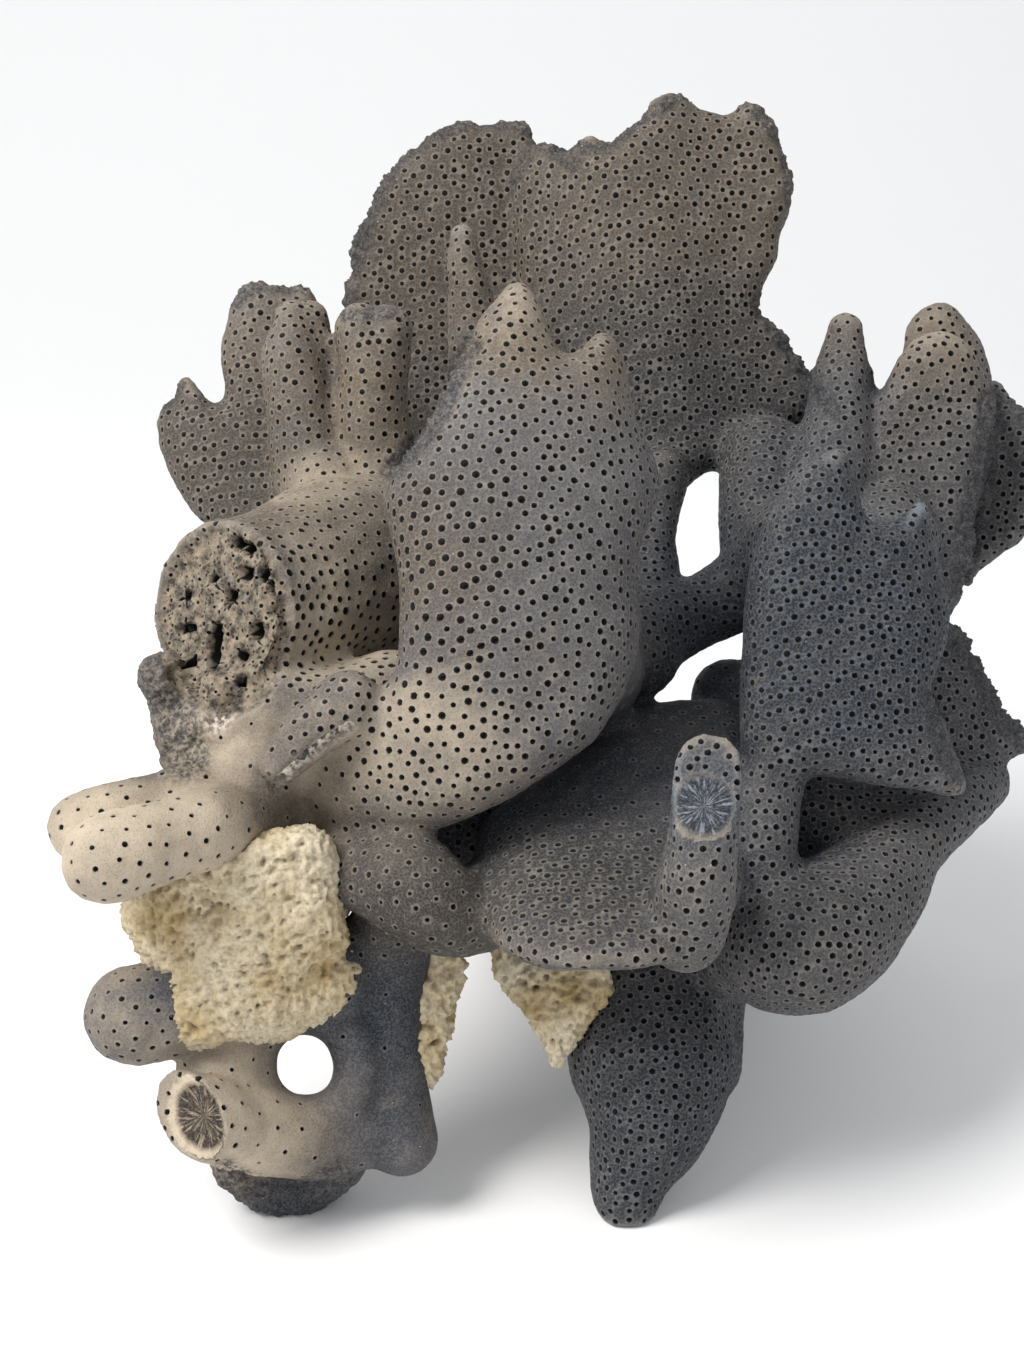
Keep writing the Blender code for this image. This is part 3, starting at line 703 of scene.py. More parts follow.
def near_lines(lines, across, up, depth):
    """Gives 1 on torn edges, falling to 0 at their reach, and how rough they are."""
    flat = np.stack([across, up], axis=1)
    share, size = np.zeros(len(across)), np.zeros(len(across))
    for line, reach, (front, back), amount in lines:
        band = np.flatnonzero((depth > front) & (depth < back))
        here = np.clip(1.3 - distance_to(flat[band], line) / reach, 0.0, 1.0)
        share[band] = np.maximum(share[band], here)
        size[band] = np.maximum(size[band], here * amount)
    return share, size


def on_face(places, normals, point, towards, radius):
    """Gives how each place lies on a broken face: across it, up it, and whether it is on it."""
    facing = np.array(Vector(towards).normalized())
    side = np.array(Vector(towards).cross((0.0, 0.0, 1.0)).normalized())
    offset = places - np.array(in_space(*point))
    height = offset @ facing
    face_x, face_y = offset @ side / radius, offset @ np.cross(side, facing) / radius
    inside = (np.abs(height) < FACE_DEPTH) & (np.hypot(face_x, face_y) < 1.0) & (normals @ facing > 0.6)
    return face_x, face_y, inside


def crumbs(points, sizes):
    """Gives the heights of broken needles and crumbs at some places."""
    heights = []
    for place, size in zip(points.tolist(), sizes.tolist()):
        coarse = noise.noise(Vector(place) / 2.2)
        grit = noise.noise(Vector(place) / 0.8)
        heights.append(size * (0.8 * coarse + 0.9 * grit))
    return np.array(heights)


across, up, depth = on_picture(places)
torn, torn_size = near_lines(TORN_EDGES, across, up, depth)
rough_spots = np.flatnonzero(torn_size > 0.02)
shift = np.zeros(len(places))
shift[rough_spots] += crumbs(places[rough_spots], torn_size[rough_spots])

fold = np.zeros(len(places))
flat = np.stack([across, up], axis=1)
for line, reach in FOLDS:
    fold = np.maximum(fold, np.clip(1.3 - distance_to(flat, line) / reach, 0.0, 1.0))
fold *= (depth < -8.0) & (normals @ np.array(FORWARD) < 0.0)
shift -= FOLD_DEPTH * fold

lip = np.hypot((across - BREAK_MIDDLE[0]) / BREAK_SIZE[0], (up - BREAK_MIDDLE[1]) / BREAK_SIZE[1])
porous = (lip < 1.0) & (depth < -8.0) & (normals @ np.array(FORWARD) < -0.25)
void = np.zeros(len(places))
for start_across, start_up, end_across, end_up, radius in VOIDS:
    line = [(start_across, start_up), (end_across, end_up)]
    gap = distance_to(flat, line)
    void = np.maximum(void, np.clip(2.1 - 1.7 * gap / radius, 0.0, 1.0))
void *= porous * np.clip((0.92 - lip) / 0.05, 0.0, 1.0)
sunk = porous * np.clip((0.95 - lip) / 0.07, 0.0, 1.0)
spots = np.flatnonzero(sunk > 0.0)
shift[spots] += crumbs(places[spots], POROUS_CRUMBS * sunk[spots]) - POROUS_DEPTH * sunk[spots]
shift -= VOID_DEPTH * void
spoke_x, spoke_y, rayed = np.ones(len(places)), np.zeros(len(places)), np.zeros(len(places))
for point, towards, radius, hollow in ((STUB_BREAK, STUB_FACING, STUB_RADIUS, STUB_HOLLOW),
                                       (BAR_BREAK, BAR_FACING, BAR_RADIUS, BAR_HOLLOW)):
    own_x, own_y, inside = on_face(places, normals, point, towards, radius)
    spots = np.flatnonzero(inside)
    spoke_x[spots], spoke_y[spots], rayed[spots] = own_x[spots], own_y[spots], 1.0
    length = np.hypot(own_x[spots], own_y[spots])
    turns = zip((own_x[spots] / length).tolist(), (own_y[spots] / length).tolist(), length.tolist())
    ridges = np.array([noise.noise((4.0 * x, 4.0 * y, 0.8 * away)) for x, y, away in turns])
    shift[spots] += SPOKE_HEIGHT * ridges - hollow * np.clip(1.1 - length, 0.0, 0.6)
places = places + normals * shift[:, None]
places[:, 2] = np.maximum(places[:, 2], 0.0)
normals = grid_normals(places, faces)
skin_lip = porous * np.clip(1.0 - np.abs(lip - 0.965) / 0.035, 0.0, 1.0)
porous = sunk
print("torn points:", len(rough_spots), " porous:", int((porous > 0).sum()), " rayed:", int(rayed.sum()))

# %% [markdown]
# Living polyps sat in round holes about 0.9 mm wide and 1.5 mm apart. A hole that is only painted
# looks flat, so each is modelled. The squares round a chosen grid point become a fan: its outer
# ring is pulled into a circle, and its middle is pushed in as a pit. That costs no extra faces, so
# the grid can be fine enough for tens of thousands. Each point chosen keeps the next one at its
# distance, and its nearest neighbours are tried first, which packs the holes as polyps pack.

# %% Where the holes go
random.seed(7)
HOLE_SPACING = 1.4
HOLE_RADIUS = 0.46
NEXT_SPACING = 1.25
SPACING_SPREAD = 0.34
POROUS_RADIUS = 0.3
POROUS_SPACING = 1.3
SHARPEST_BEND = 0.75
WIDE_ZONES = [(-14, 14, -30, 18, 1.6, 0.58), (-26, 26, -4, 16, 1.6, 0.42), (52, 6, -18, 20, 1.35, 0.46)]
SPARSE_ZONES = [(-58, -24, -38, 14, 2.2, 0.38), (-38, -20, -30, 12, 2.4, 0.36), (-48, -6, -20, 10, 5.5, 0.3),
                (-42, -13, -22, 10, 5.5, 0.3), (17, -14, -12, 14, 3.0, 0.34), (-50, -50, -24, 13, 2.1, 0.38),
                (-33, -68, -18, 13, 3.4, 0.32), (-18, -52, -13, 11, 9.0, 0.3), (-17, -66, -13, 9, 9.0, 0.3),
                (-34, -76, -6, 9, 9.0, 0.3), (-14, -33, -24, 11, 2.3, 0.34), (30, -8, 8, 8, 3.0, 0.34)]


def zone_share(zone, across, up, depth):
    """Gives 1 in the middle of a round patch of coral, falling to 0 outside it."""
    gap = np.sqrt((across - zone[0]) ** 2 + (up - zone[1]) ** 2 + (depth - zone[2]) ** 2)
    return np.clip(1.6 - gap / zone[3], 0.0, 1.0)


def hole_sizes(across, up, depth):
    spacing = np.full(len(across), HOLE_SPACING)
    radius = np.full(len(across), HOLE_RADIUS)
    for zone in WIDE_ZONES + SPARSE_ZONES:
        share = zone_share(zone, across, up, depth)
        spacing += share * (zone[4] - spacing)
        radius += share * (zone[5] - radius)
    return spacing, radius


def ring_round(point, rows, face_of, corner_of, starts):
    """Gives the points round a grid point in order, and the faces between."""
    onward = {}
    near = range(starts[point], starts[point + 1])
    for place in near:
        face = rows[face_of[place]]
        corner = corner_of[place]
        onward[face[(corner + 1) % 4]] = (face[(corner + 2) % 4], face[(corner + 3) % 4])
    ring = []
    first = here = next(iter(onward))
    while here in onward and len(ring) < 2 * len(onward):
        corner_point, there = onward[here]
        ring += [here, corner_point]
        here = there
    closed = here == first and len(ring) == 2 * len(onward) and len(set(ring)) == len(ring)
    return (ring if closed else None), [face_of[place] for place in near]


def choose_holes(places, faces, spacing, allowed):
    count = len(places)
    flat = faces.ravel()
    order = np.argsort(flat, kind="stable")
    starts = np.searchsorted(flat[order], np.arange(count + 1)).tolist()
    face_of, corner_of = (order // 4).tolist(), (order % 4).tolist()
    rows = faces.tolist()
    tree = kdtree.KDTree(count)
    for index, place in enumerate(places.tolist()):
        tree.insert(place, index)
    tree.balance()
    candidates = np.flatnonzero(allowed).tolist()
    random.shuffle(candidates)
    taken, blocked, open_to = bytearray(count), bytearray(count), bytearray(allowed.tobytes())
    chosen, front = [], deque()
    while candidates or front:
        point = front.popleft() if front else candidates.pop()
        if blocked[point] or taken[point] or not open_to[point]:
            continue
        ring, near = ring_round(point, rows, face_of, corner_of, starts)
        if ring is None or not 6 <= len(ring) <= 12 or any(taken[other] for other in ring):
            continue
        chosen.append((point, ring, near))
        taken[point] = 1
        for other in ring:
            taken[other] = 1
        apart = spacing[point] * random.uniform(0.95, 1.0 + SPACING_SPREAD)
        for place, index, distance in tree.find_range(places[point], NEXT_SPACING * apart):
            if distance < apart:
                blocked[index] = 1
            else:
                front.append(index)
    return chosen


spacing, radius = hole_sizes(across, up, depth)
radius = np.where(porous > 0.5, POROUS_RADIUS, radius)
spacing = np.where(porous > 0.5, POROUS_SPACING, spacing)
allowed = (places[:, 2] > 1.0) & (torn < 0.35) & (rayed < 0.5) & (void < 0.05) & (fold < 0.05)
allowed &= (bend < SHARPEST_BEND) | (porous > 0.5)
holes = choose_holes(places, faces, spacing, allowed)
print("polyp holes:", len(holes))

# %% [markdown]
# Letting the holes in. The rim is lifted a little, because the wall of each polyp's cup stands
# proud. Two values are kept for the finish: rim is 1 on the lip, and well is 1 at the bottom,
# where the finish paints shade.

# %% Let the holes in
RIM_LIFT = 0.06
HOLE_DEPTH = 1.1
WIDEST_PULL = 1.8
SIZE_SPREAD = 0.22


def let_in_holes(places, faces, normals, holes, radius):
    surface = places.copy()
    rim, well = np.zeros(len(places)), np.zeros(len(places))
    fans, gone = [], []
    for point, ring, near in holes:
        size = radius[point] * random.uniform(1.0 - SIZE_SPREAD, 1.0 + SIZE_SPREAD)
        axis = normals[point]
        arms = places[ring] - places[point]
        heights = arms @ axis
        arms -= heights[:, None] * axis
        shrink = np.minimum(size / np.maximum(np.linalg.norm(arms, axis=1), 0.1), WIDEST_PULL)
        lifted = axis * (heights * shrink ** 2 + RIM_LIFT)[:, None]
        surface[ring] = places[point] + arms * shrink[:, None] + lifted
        surface[point] = places[point] - axis * HOLE_DEPTH
        rim[ring] = 1.0
        well[point] = 1.0
        gone += near
        fans += [(ring[k], ring[(k + 1) % len(ring)], point) for k in range(len(ring))]
    kept = np.ones(len(faces), dtype=bool)
    kept[gone] = False
    return surface, faces[kept], np.array(fans), rim, well


surface, quads, fans, rim, well = let_in_holes(places, faces, normals, holes, radius)
# The deep voids of the cut branch get the same painted shade as the holes.
well = np.maximum(well, np.clip(1.6 * void - 0.7, 0.0, 1.0))
rim = np.maximum(rim, 0.9 * skin_lip)
print("coral surface:", len(surface), "points,", 2 * len(quads) + len(fans), "triangles")

# %% [markdown]
# The colour of a dead blue coral runs from tan, where light and dust reached it, through lavender
# grey, to the dark blue of the bare skeleton low down. Round patches on the coral say how tan,
# blue, pale or dark each place is: the dark patches are painted shade, and the pale ones are partly
# worn wax and partly painted light. The openness adds more blue to the hollows, as painted shade.

# %% Tone of every place
TAN = [(25, 75, 20, 26, 0.9), (12, 58, 22, 20, 0.7), (-10, 70, 28, 26, 0.95), (-14, 48, 28, 16, 0.6),
       (-42, 40, 10, 20, 0.9), (-30, 48, 5, 12, 0.9), (-21, 42, 2, 13, 1.0), (-35, 22, -8, 18, 1.0),
       (-25, 12, -8, 18, 0.9), (-43, 11, -22, 14, 0.9), (-16, 18, -32, 12, 0.75), (1, 54, -30, 10, 0.95),
       (13, 48, -28, 8, 0.8), (-30, -14, -25, 14, 0.95), (-14, -8, -30, 12, 0.5), (-50, -25, -34, 22, 1.0),
       (-42, -66, -22, 14, 1.0), (-56, -50, -24, 8, 0.7), (-17, -30, -25, 9, 1.0), (-3, -37, -30, 6, 0.8),
       (49, 34, -18, 6, 0.6), (63, 50, 14, 10, 0.9), (60, 36, 14, 10, 0.5), (50, 51, 14, 5, 0.7),
       (-6, 62, 8, 12, 0.9), (-14, -33, -30, 10, 1.0)]
BLUE = [(-19, -50, -13, 12, 1.0), (-17, -66, -13, 9, 0.8), (30, 14, 8, 16, 0.8), (44, 30, 10, 12, 0.7),
        (14, -18, -12, 15, 0.8), (-34, -78, -6, 9, 1.0), (50, 8, -16, 22, 0.4), (48, -34, -14, 16, 0.5),
        (20, -60, -6, 18, 0.5), (0, -10, 0, 16, 0.8), (28, -24, -38, 8, 0.4), (66, -4, 8, 12, 0.5),
        (72, 32, 28, 14, 0.5), (50, 40, 14, 10, 0.6), (50, 10, -20, 26, 1.0), (29, -18, -44, 7, 0.9),
        (62, 22, 12, 22, 0.5),
        (32, -30, -4, 30, 0.6), (26, -66, -6, 24, 0.9), (66, -10, 6, 24, 0.6), (16, 20, -16, 20, 0.35),
        (22, 36, 20, 20, 0.45), (-6, -24, -10, 16, 0.7), (-22, 68, 28, 4, 0.8), (8, 78.5, 20, 3, 0.9),
        (16, 30, -20, 12, 0.25), (-49, -46, -30, 6, 0.9)]
# Pale patches: partly the pale wax of worn places, partly painted light.
PALE_WAX_AND_PAINTED_LIGHT = [(-61, -25, -38, 10, 0.95), (-50, -24, -36, 10, 0.65), (-42, -66, -26, 10, 0.7),
        (-44, -9, -24, 9, 0.45), (-14, -67, -17, 5, 0.15), (-31, -11, -24, 6, 0.55), (1, 58, -32, 6, 0.35),
        (-14, -13, -34, 12, 0.5), (-57, -51, -26, 8, 0.22), (-25, 9, -16, 12, 0.8), (-27, 24, -6, 11, 0.4),
        (-26, -20, -24, 8, 0.35), (-42, 5, -24, 4, 0.35), (64, 51, 14, 5, 0.4)]
# Dark patches, laid over places that lie in shade: painted shade.
PAINTED_SHADE_ZONES = [(25, 46, 22, 22, 0.75), (30, 34, 22, 16, 0.85), (-8, 40, 28, 18, 0.7), (-46, 34, 8, 14, 0.75),
        (-9, 70, 28, 24, 0.6), (24, 74, 20, 22, 0.45), (-11, 20, -20, 16, 0.8), (12, -36, -28, 18, 0.95),
        (-14, -33, -30, 11, 1.0),
        (26, -66, -6, 26, 0.8), (50, 8, -20, 26, 0.65), (-17, -56, -13, 14, 0.4), (-12, -32, -26, 18, 0.9),
        (12, -10, -4, 16, 0.8), (64, -2, 8, 14, 0.6), (70, 30, 24, 14, 0.5),
        (46, -38, -12, 18, 0.6), (-6, -20, -4, 16, 0.8), (48, -18, -4, 12, 0.7), (8, 78.5, 20, 3, 0.7)]
TONE_ZONES = {"tan": TAN, "blue": BLUE, "pale": PALE_WAX_AND_PAINTED_LIGHT, "dark": PAINTED_SHADE_ZONES}


def zone_value(zones):
    value = np.zeros(len(across))
    for zone in zones:
        value = np.maximum(value, zone[4] * zone_share(zone, across, up, depth))
    return value


point_values = {name: zone_value(zones) for name, zones in TONE_ZONES.items()}
point_values |= {"bend": bend, "open_share": open_share, "rim": rim, "well": well, "torn": torn,
                 "porous": porous, "rayed": rayed, "spoke_x": spoke_x, "spoke_y": spoke_y, "fold": fold}
for name, value in point_values.items():
    print(name, "mean", round(float(value.mean()), 3), "most", round(float(value.max()), 2))

# %% [markdown]
# The frame splits the coral at its forks. Each face of the fused surface goes to the branch whose
# solid is nearest, so the pieces meet in a line at each fork and together show one skin. Every
# piece is closed by a cap inside the fork, and keeps the shared normals, so no seam is seen.

# %% Split at the forks
LIME_NODES = ("lime_crust_left", "lime_flap_left", "lime_flap_right")
LABEL_STEPS = 8
CAP_INSET = 1.5
coral_nodes = [name for name in sorted(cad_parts) if name not in LIME_NODES]


def tree_of_nodes(names):
    corners, triangles, owners = [], [], []
    for number, name in enumerate(names):
        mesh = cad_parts[name].data
        first = len(corners)
        corners += [vertex.co / MM for vertex in mesh.vertices]
        for polygon in mesh.polygons:
            triangles.append([first + index for index in polygon.vertices])
            owners.append(number)
    return BVHTree.FromPolygons(corners, triangles), owners


def nearest_node(tree, owners, points):
    return np.array([owners[tree.find_nearest(point)[2]] for point in points.tolist()])


def even_labels(labels, edges, count):
    """Evens out which branch each place belongs to, so that no island is left."""
    shares = [spread_out((labels == label).astype(float), edges, LABEL_STEPS) for label in range(count)]
    return np.argmax(np.stack(shares), axis=0)


def shared_normals():
    """Gives the normals of the surface between the holes, and each pit's own axis at its middle."""
    between = grid_normals(surface, quads)
    middles = [point for point, ring, near in holes]
    between[middles] = normals[middles]
    return between


def close_forks(mesh):
    """Closes the open rims that a split leaves, with a cap that lies inside the coral."""
    edit = bmesh.new()
    edit.from_mesh(mesh)
    edit.normal_update()
    rims = [edge for edge in edit.edges if len(edge.link_faces) == 1]
    inward = {vertex: vertex.co - vertex.normal * CAP_INSET * MM for edge in rims for vertex in edge.verts}
    made = bmesh.ops.extrude_edge_only(edit, edges=rims)["geom"]
    for vertex in [item for item in made if isinstance(item, bmesh.types.BMVert)]:
        sources = [edge.other_vert(vertex) for edge in vertex.link_edges]
        vertex.co = inward[next(source for source in sources if source in inward)]
    inner = [item for item in made if isinstance(item, bmesh.types.BMEdge) and len(item.link_faces) == 1]
    caps = bmesh.ops.holes_fill(edit, edges=inner)["faces"]
    bmesh.ops.poke(edit, faces=caps)
    for face in edit.faces:
        face.smooth = True
    edit.to_mesh(mesh)
    edit.free()


def add_value(mesh, name, values):
    attribute = mesh.attributes.new(name, "FLOAT", "POINT")
    attribute.data.foreach_set("value", np.ascontiguousarray(values, dtype=np.float32))


def cut_out(name, all_places, *face_groups):
    """Makes a mesh in metres from some faces of a grid, and says which points it used."""
    used = np.unique(np.concatenate([group.ravel() for group in face_groups]))
    renamed = np.zeros(len(all_places), dtype=np.int64)
    renamed[used] = np.arange(len(used))
    corners = [corner for group in face_groups for corner in renamed[group].tolist()]
    mesh = bpy.data.meshes.new(name)
    mesh.from_pydata((all_places[used] * MM).tolist(), [], corners)
    return mesh, used


def split_piece(name, own_quads, own_fans, skin_normals):
    mesh, used = cut_out(name, surface, own_quads, own_fans)
    close_forks(mesh)
    cap_points = np.zeros(len(mesh.vertices) - len(used))
    for value_name, value in point_values.items():
        add_value(mesh, value_name, np.concatenate([value[used], cap_points]))
    own_normals = np.empty(len(mesh.vertices) * 3)
    mesh.vertices.foreach_get("normal", own_normals)
    own_normals = own_normals.reshape(-1, 3)
    own_normals[:len(used)] = skin_normals[used]
    mesh.normals_split_custom_set_from_vertices(own_normals.tolist())
    return placed(name, mesh)


def stand_for(piece, node):
    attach(piece, "root")
    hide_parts(node)


tree, owners = tree_of_nodes(coral_nodes)
node_of_place = even_labels(nearest_node(tree, owners, places), edges, len(coral_nodes))
skin_normals = shared_normals()
coral_pieces = []
for number, node in enumerate(coral_nodes):
    own_quads = quads[node_of_place[quads[:, 0]] == number]
    own_fans = fans[node_of_place[fans[:, 2]] == number]
    piece = split_piece(node + "_skin", own_quads, own_fans, skin_normals)
    stand_for(piece, node)
    coral_pieces.append(piece)
    print(piece.name, 2 * len(own_quads) + len(own_fans), "triangles")

# %% [markdown]
# The finish of the skeleton is stone, not pigment: aragonite crystals, dry and matt, with an IOR
# near 1.53. The animal built it, so between the holes it is a net of fine pores. They are drawn
# about 0.3 mm wide, which is as fine as a render here can show. Tan comes from dust and dried
# tissue, and blue from an iron salt in the stone. The extra blue in the hollows is painted shade.

# %% Colours and nodes
def colour(code):
    """Turns an sRGB hex colour to linear."""
    parts = [int(code[i:i + 2], 16) / 255.0 for i in (1, 3, 5)]
    linear = [part / 12.92 if part <= 0.04045 else ((part + 0.055) / 1.055) ** 2.4 for part in parts]
    return (*linear, 1.0)


def add(tree, kind, settings=None, inputs=None, output=0):
    """Adds a node with its settings and its inputs, and gives one of its outputs."""
    node = tree.nodes.new(kind)
    for name, value in (settings or {}).items():
        setattr(node, name, value)
    for name, value in (inputs or {}).items():
        if isinstance(value, bpy.types.NodeSocket):
            tree.links.new(value, node.inputs[name])
        else:
            node.inputs[name].default_value = value
    return node.outputs[output]


def per_mm(length):
    """Gives the texture scale for a pattern of this length, because objects are in metres."""
    return 1.0 / (length * MM)


def grain(tree, place, width, detail):
    """Gives noise with grains this many millimetres wide."""
    return add(tree, "ShaderNodeTexNoise", {}, {"Vector": place, "Scale": per_mm(width), "Detail": detail})


def cell_distance(tree, place, width):
    """Gives how far each place is from the middle of its cell."""
    return add(tree, "ShaderNodeTexVoronoi", {}, {"Vector": place, "Scale": per_mm(width)})


def ramp(tree, value, low, high, least=0.0, most=1.0):
    """Turns the values from low to high into those from least to most, and holds the ends."""
    return add(tree, "ShaderNodeMapRange", {}, {0: value, 1: low, 2: high, 3: least, 4: most})


def plus(tree, first, second, clamp=True):
    return add(tree, "ShaderNodeMath", {"operation": "ADD", "use_clamp": clamp}, {0: first, 1: second})


def mix(tree, share, under, over):
    """Lays a colour over another by a share. Each is a hex colour or a node's output."""
    under, over = [colour(value) if isinstance(value, str) else value for value in (under, over)]
    return add(tree, "ShaderNodeMix", {"data_type": "RGBA"}, {0: share, 6: under, 7: over}, 2)


def new_material(name):
    """Gives a new material with its node tree, its shader and the place on the object."""
    material = bpy.data.materials.new(name)
    material.use_nodes = True
    tree = material.node_tree
    return material, tree, tree.nodes["Principled BSDF"], add(tree, "ShaderNodeTexCoord", {}, {}, "Object")


def set_inputs(shader, values):
    for name, value in values.items():
        shader.inputs[name].default_value = value


def bumped(tree, shader, height, strength, distance):
    """Gives the shader a relief, with its distance in millimetres."""
    inputs = {"Height": height, "Strength": strength, "Distance": distance * MM}
    relief = add(tree, "ShaderNodeBump", {}, inputs)
    tree.links.new(relief, shader.inputs["Normal"])


print("middle grey, linear:", [round(part, 3) for part in colour("#808080")])

# %% [markdown]
# The tone comes first. Each share is a kept value plus slow noise, which breaks up the patches,
# and the colours are laid over each other: grey ground, tan, blue with painted shade in the
# hollows, the pale wax of worn places that is partly painted light, painted shade where little
# light comes in, and last the pale edges where the surface bends outward, which are partly wear
# and partly a painted highlight.

# %% Tone of the stone
MOTTLE_MM = 7.0
BLOTCH_MM = 2.2
GREY_STONE = "#5D5B5C"
TAN_STONE = "#675B4D"
BLUE_STONE = "#262F3C"
PALE_STONE = "#C3B49E"
SHADE_STONE = "#14161B"
# The edge colours: partly wear, partly a painted highlight.
EDGE_WEAR_AND_HIGHLIGHT = "#8C8174"
BLUE_EDGE = "#727A84"


def stone_tone(tree, place, kept):
    mottle = grain(tree, place, MOTTLE_MM, 5.0)
    wander = ramp(tree, mottle, 0.3, 0.7, -0.3, 0.3)
    blotch = grain(tree, place, BLOTCH_MM, 3.0)
    fleck = ramp(tree, blotch, 0.35, 0.65, -0.12, 0.12)
    wander = plus(tree, wander, fleck, False)
    tan = plus(tree, kept["tan"], wander)
    ground = mix(tree, tan, GREY_STONE, TAN_STONE)
    # Blue added where the place is closed in: painted shade in the hollows.
    hollow = ramp(tree, kept["open_share"], 0.62, 0.15, 0.0, 0.85)
    blue = plus(tree, plus(tree, kept["blue"], hollow, False), wander)
    ground = mix(tree, blue, ground, BLUE_STONE)
    pale = add(tree, "ShaderNodeMath", {"operation": "MULTIPLY_ADD"}, {0: wander, 1: 0.5, 2: kept["pale"]})
    pale = ramp(tree, pale, 0.08, 0.9)
    ground = mix(tree, pale, ground, PALE_STONE)
    # The dark patches lay painted shade.
    shade = ramp(tree, kept["dark"], 0.0, 1.0, 0.0, 0.8)
    ground = mix(tree, shade, ground, SHADE_STONE)
    # Pale edges where the surface bends outward: partly wear, partly a painted highlight.
    edge = ramp(tree, kept["bend"], 0.2, 0.62, 0.0, 0.7)
    pale_edge = mix(tree, blue, EDGE_WEAR_AND_HIGHLIGHT, BLUE_EDGE)
    return mix(tree, edge, ground, pale_edge)


# %% [markdown]
# Broken stone looks different. A torn edge shows dark needles with pale ends. The porous inside
# is pocked with small round cells, whose dark middles are painted shade. A fresh break shows
# spokes: noise read along the direction from the middle gives streaks that run outward, and a
# cream skin closes them in.

# %% Broken stone
CELL_MM = 0.9
NEEDLE_MM = 0.7
CRUST_MM = 1.6
STREAK_SCALE = 3.2
NEEDLE_DARK = "#23262C"
FOLD_DARK, FOLD_LIGHT = "#4A4038", "#D8CFC2"
# Painted shade for the pits of the porous inside.
CRUST_DARK, CRUST_LIGHT, PAINTED_CELL_SHADE = "#312B25", "#8A7C69", "#17140F"
SPOKE_DARK, SPOKE_DARK_BLUE = "#2A211A", "#1D2634"
SPOKE_LIGHT, SPOKE_LIGHT_BLUE = "#94836F", "#7A848F"
CREAM_SKIN = "#BCAD97"


def torn_stone(tree, place, kept, ground):
    needles = grain(tree, place, NEEDLE_MM, 3.0)
    tips = ramp(tree, needles, 0.42, 0.62)
    crumb = mix(tree, tips, NEEDLE_DARK, ground)
    share = ramp(tree, kept["torn"], 0.25, 0.7, 0.0, 0.85)
    ground = mix(tree, share, ground, crumb)
    crystal = mix(tree, tips, FOLD_DARK, FOLD_LIGHT)
    return mix(tree, kept["fold"], ground, crystal)


def porous_stone(tree, place, kept, ground):
    cell = cell_distance(tree, place, CELL_MM)
    grit = grain(tree, place, CRUST_MM, 5.0)
    share = ramp(tree, grit, 0.36, 0.62)
    crust = mix(tree, share, CRUST_DARK, CRUST_LIGHT)
    # The dark middles of the cells are painted shade of small pits.
    pit = ramp(tree, cell, 0.36, 0.22)
    crust = mix(tree, pit, crust, PAINTED_CELL_SHADE)
    return mix(tree, kept["porous"], ground, crust)


def rayed_stone(tree, kept, ground):
    arm = add(tree, "ShaderNodeCombineXYZ", {}, {0: kept["spoke_x"], 1: kept["spoke_y"]})
    away = add(tree, "ShaderNodeVectorMath", {"operation": "LENGTH"}, {0: arm}, "Value")
    way = add(tree, "ShaderNodeVectorMath", {"operation": "NORMALIZE"}, {0: arm})
    lift = add(tree, "ShaderNodeCombineXYZ", {}, {2: away})
    along = add(tree, "ShaderNodeVectorMath", {"operation": "MULTIPLY_ADD"},
                {0: way, 1: (3.0, 3.0, 3.0), 2: lift})
    streaks = add(tree, "ShaderNodeTexNoise", {}, {"Vector": along, "Scale": STREAK_SCALE, "Detail": 3.0})
    share = ramp(tree, streaks, 0.5, 0.68)
    dark = mix(tree, kept["blue"], SPOKE_DARK, SPOKE_DARK_BLUE)
    light = mix(tree, kept["blue"], SPOKE_LIGHT, SPOKE_LIGHT_BLUE)
    spokes = mix(tree, share, dark, light)
    skin = ramp(tree, away, 0.7, 0.86)
    outside = mix(tree, kept["blue"], CREAM_SKIN, ground)
    spokes = mix(tree, skin, spokes, outside)
    return mix(tree, kept["rayed"], ground, spokes)


# %% [markdown]
# Last come the finest things: the net of pores, whose dark middles are painted shade, a few bright
# crystals, the pale lip of each hole, and the painted shade in it. The same net and a finer grit
# give the bump and make the gloss uneven.

# %% Skeleton material
NET_MM = 0.34
GRIT_MM = 0.5
NET_STONE = "#C9C0B4"
# Painted shade for the fine pores.
PAINTED_PORE_SHADE = "#1C1A19"
SPARK_STONE = "#E4DED4"
LIP_STONE = "#A69B8D"
# Painted shade inside the holes.
PAINTED_WELL_SHADE = "#0B0A09"
BUMP_MM = 0.15


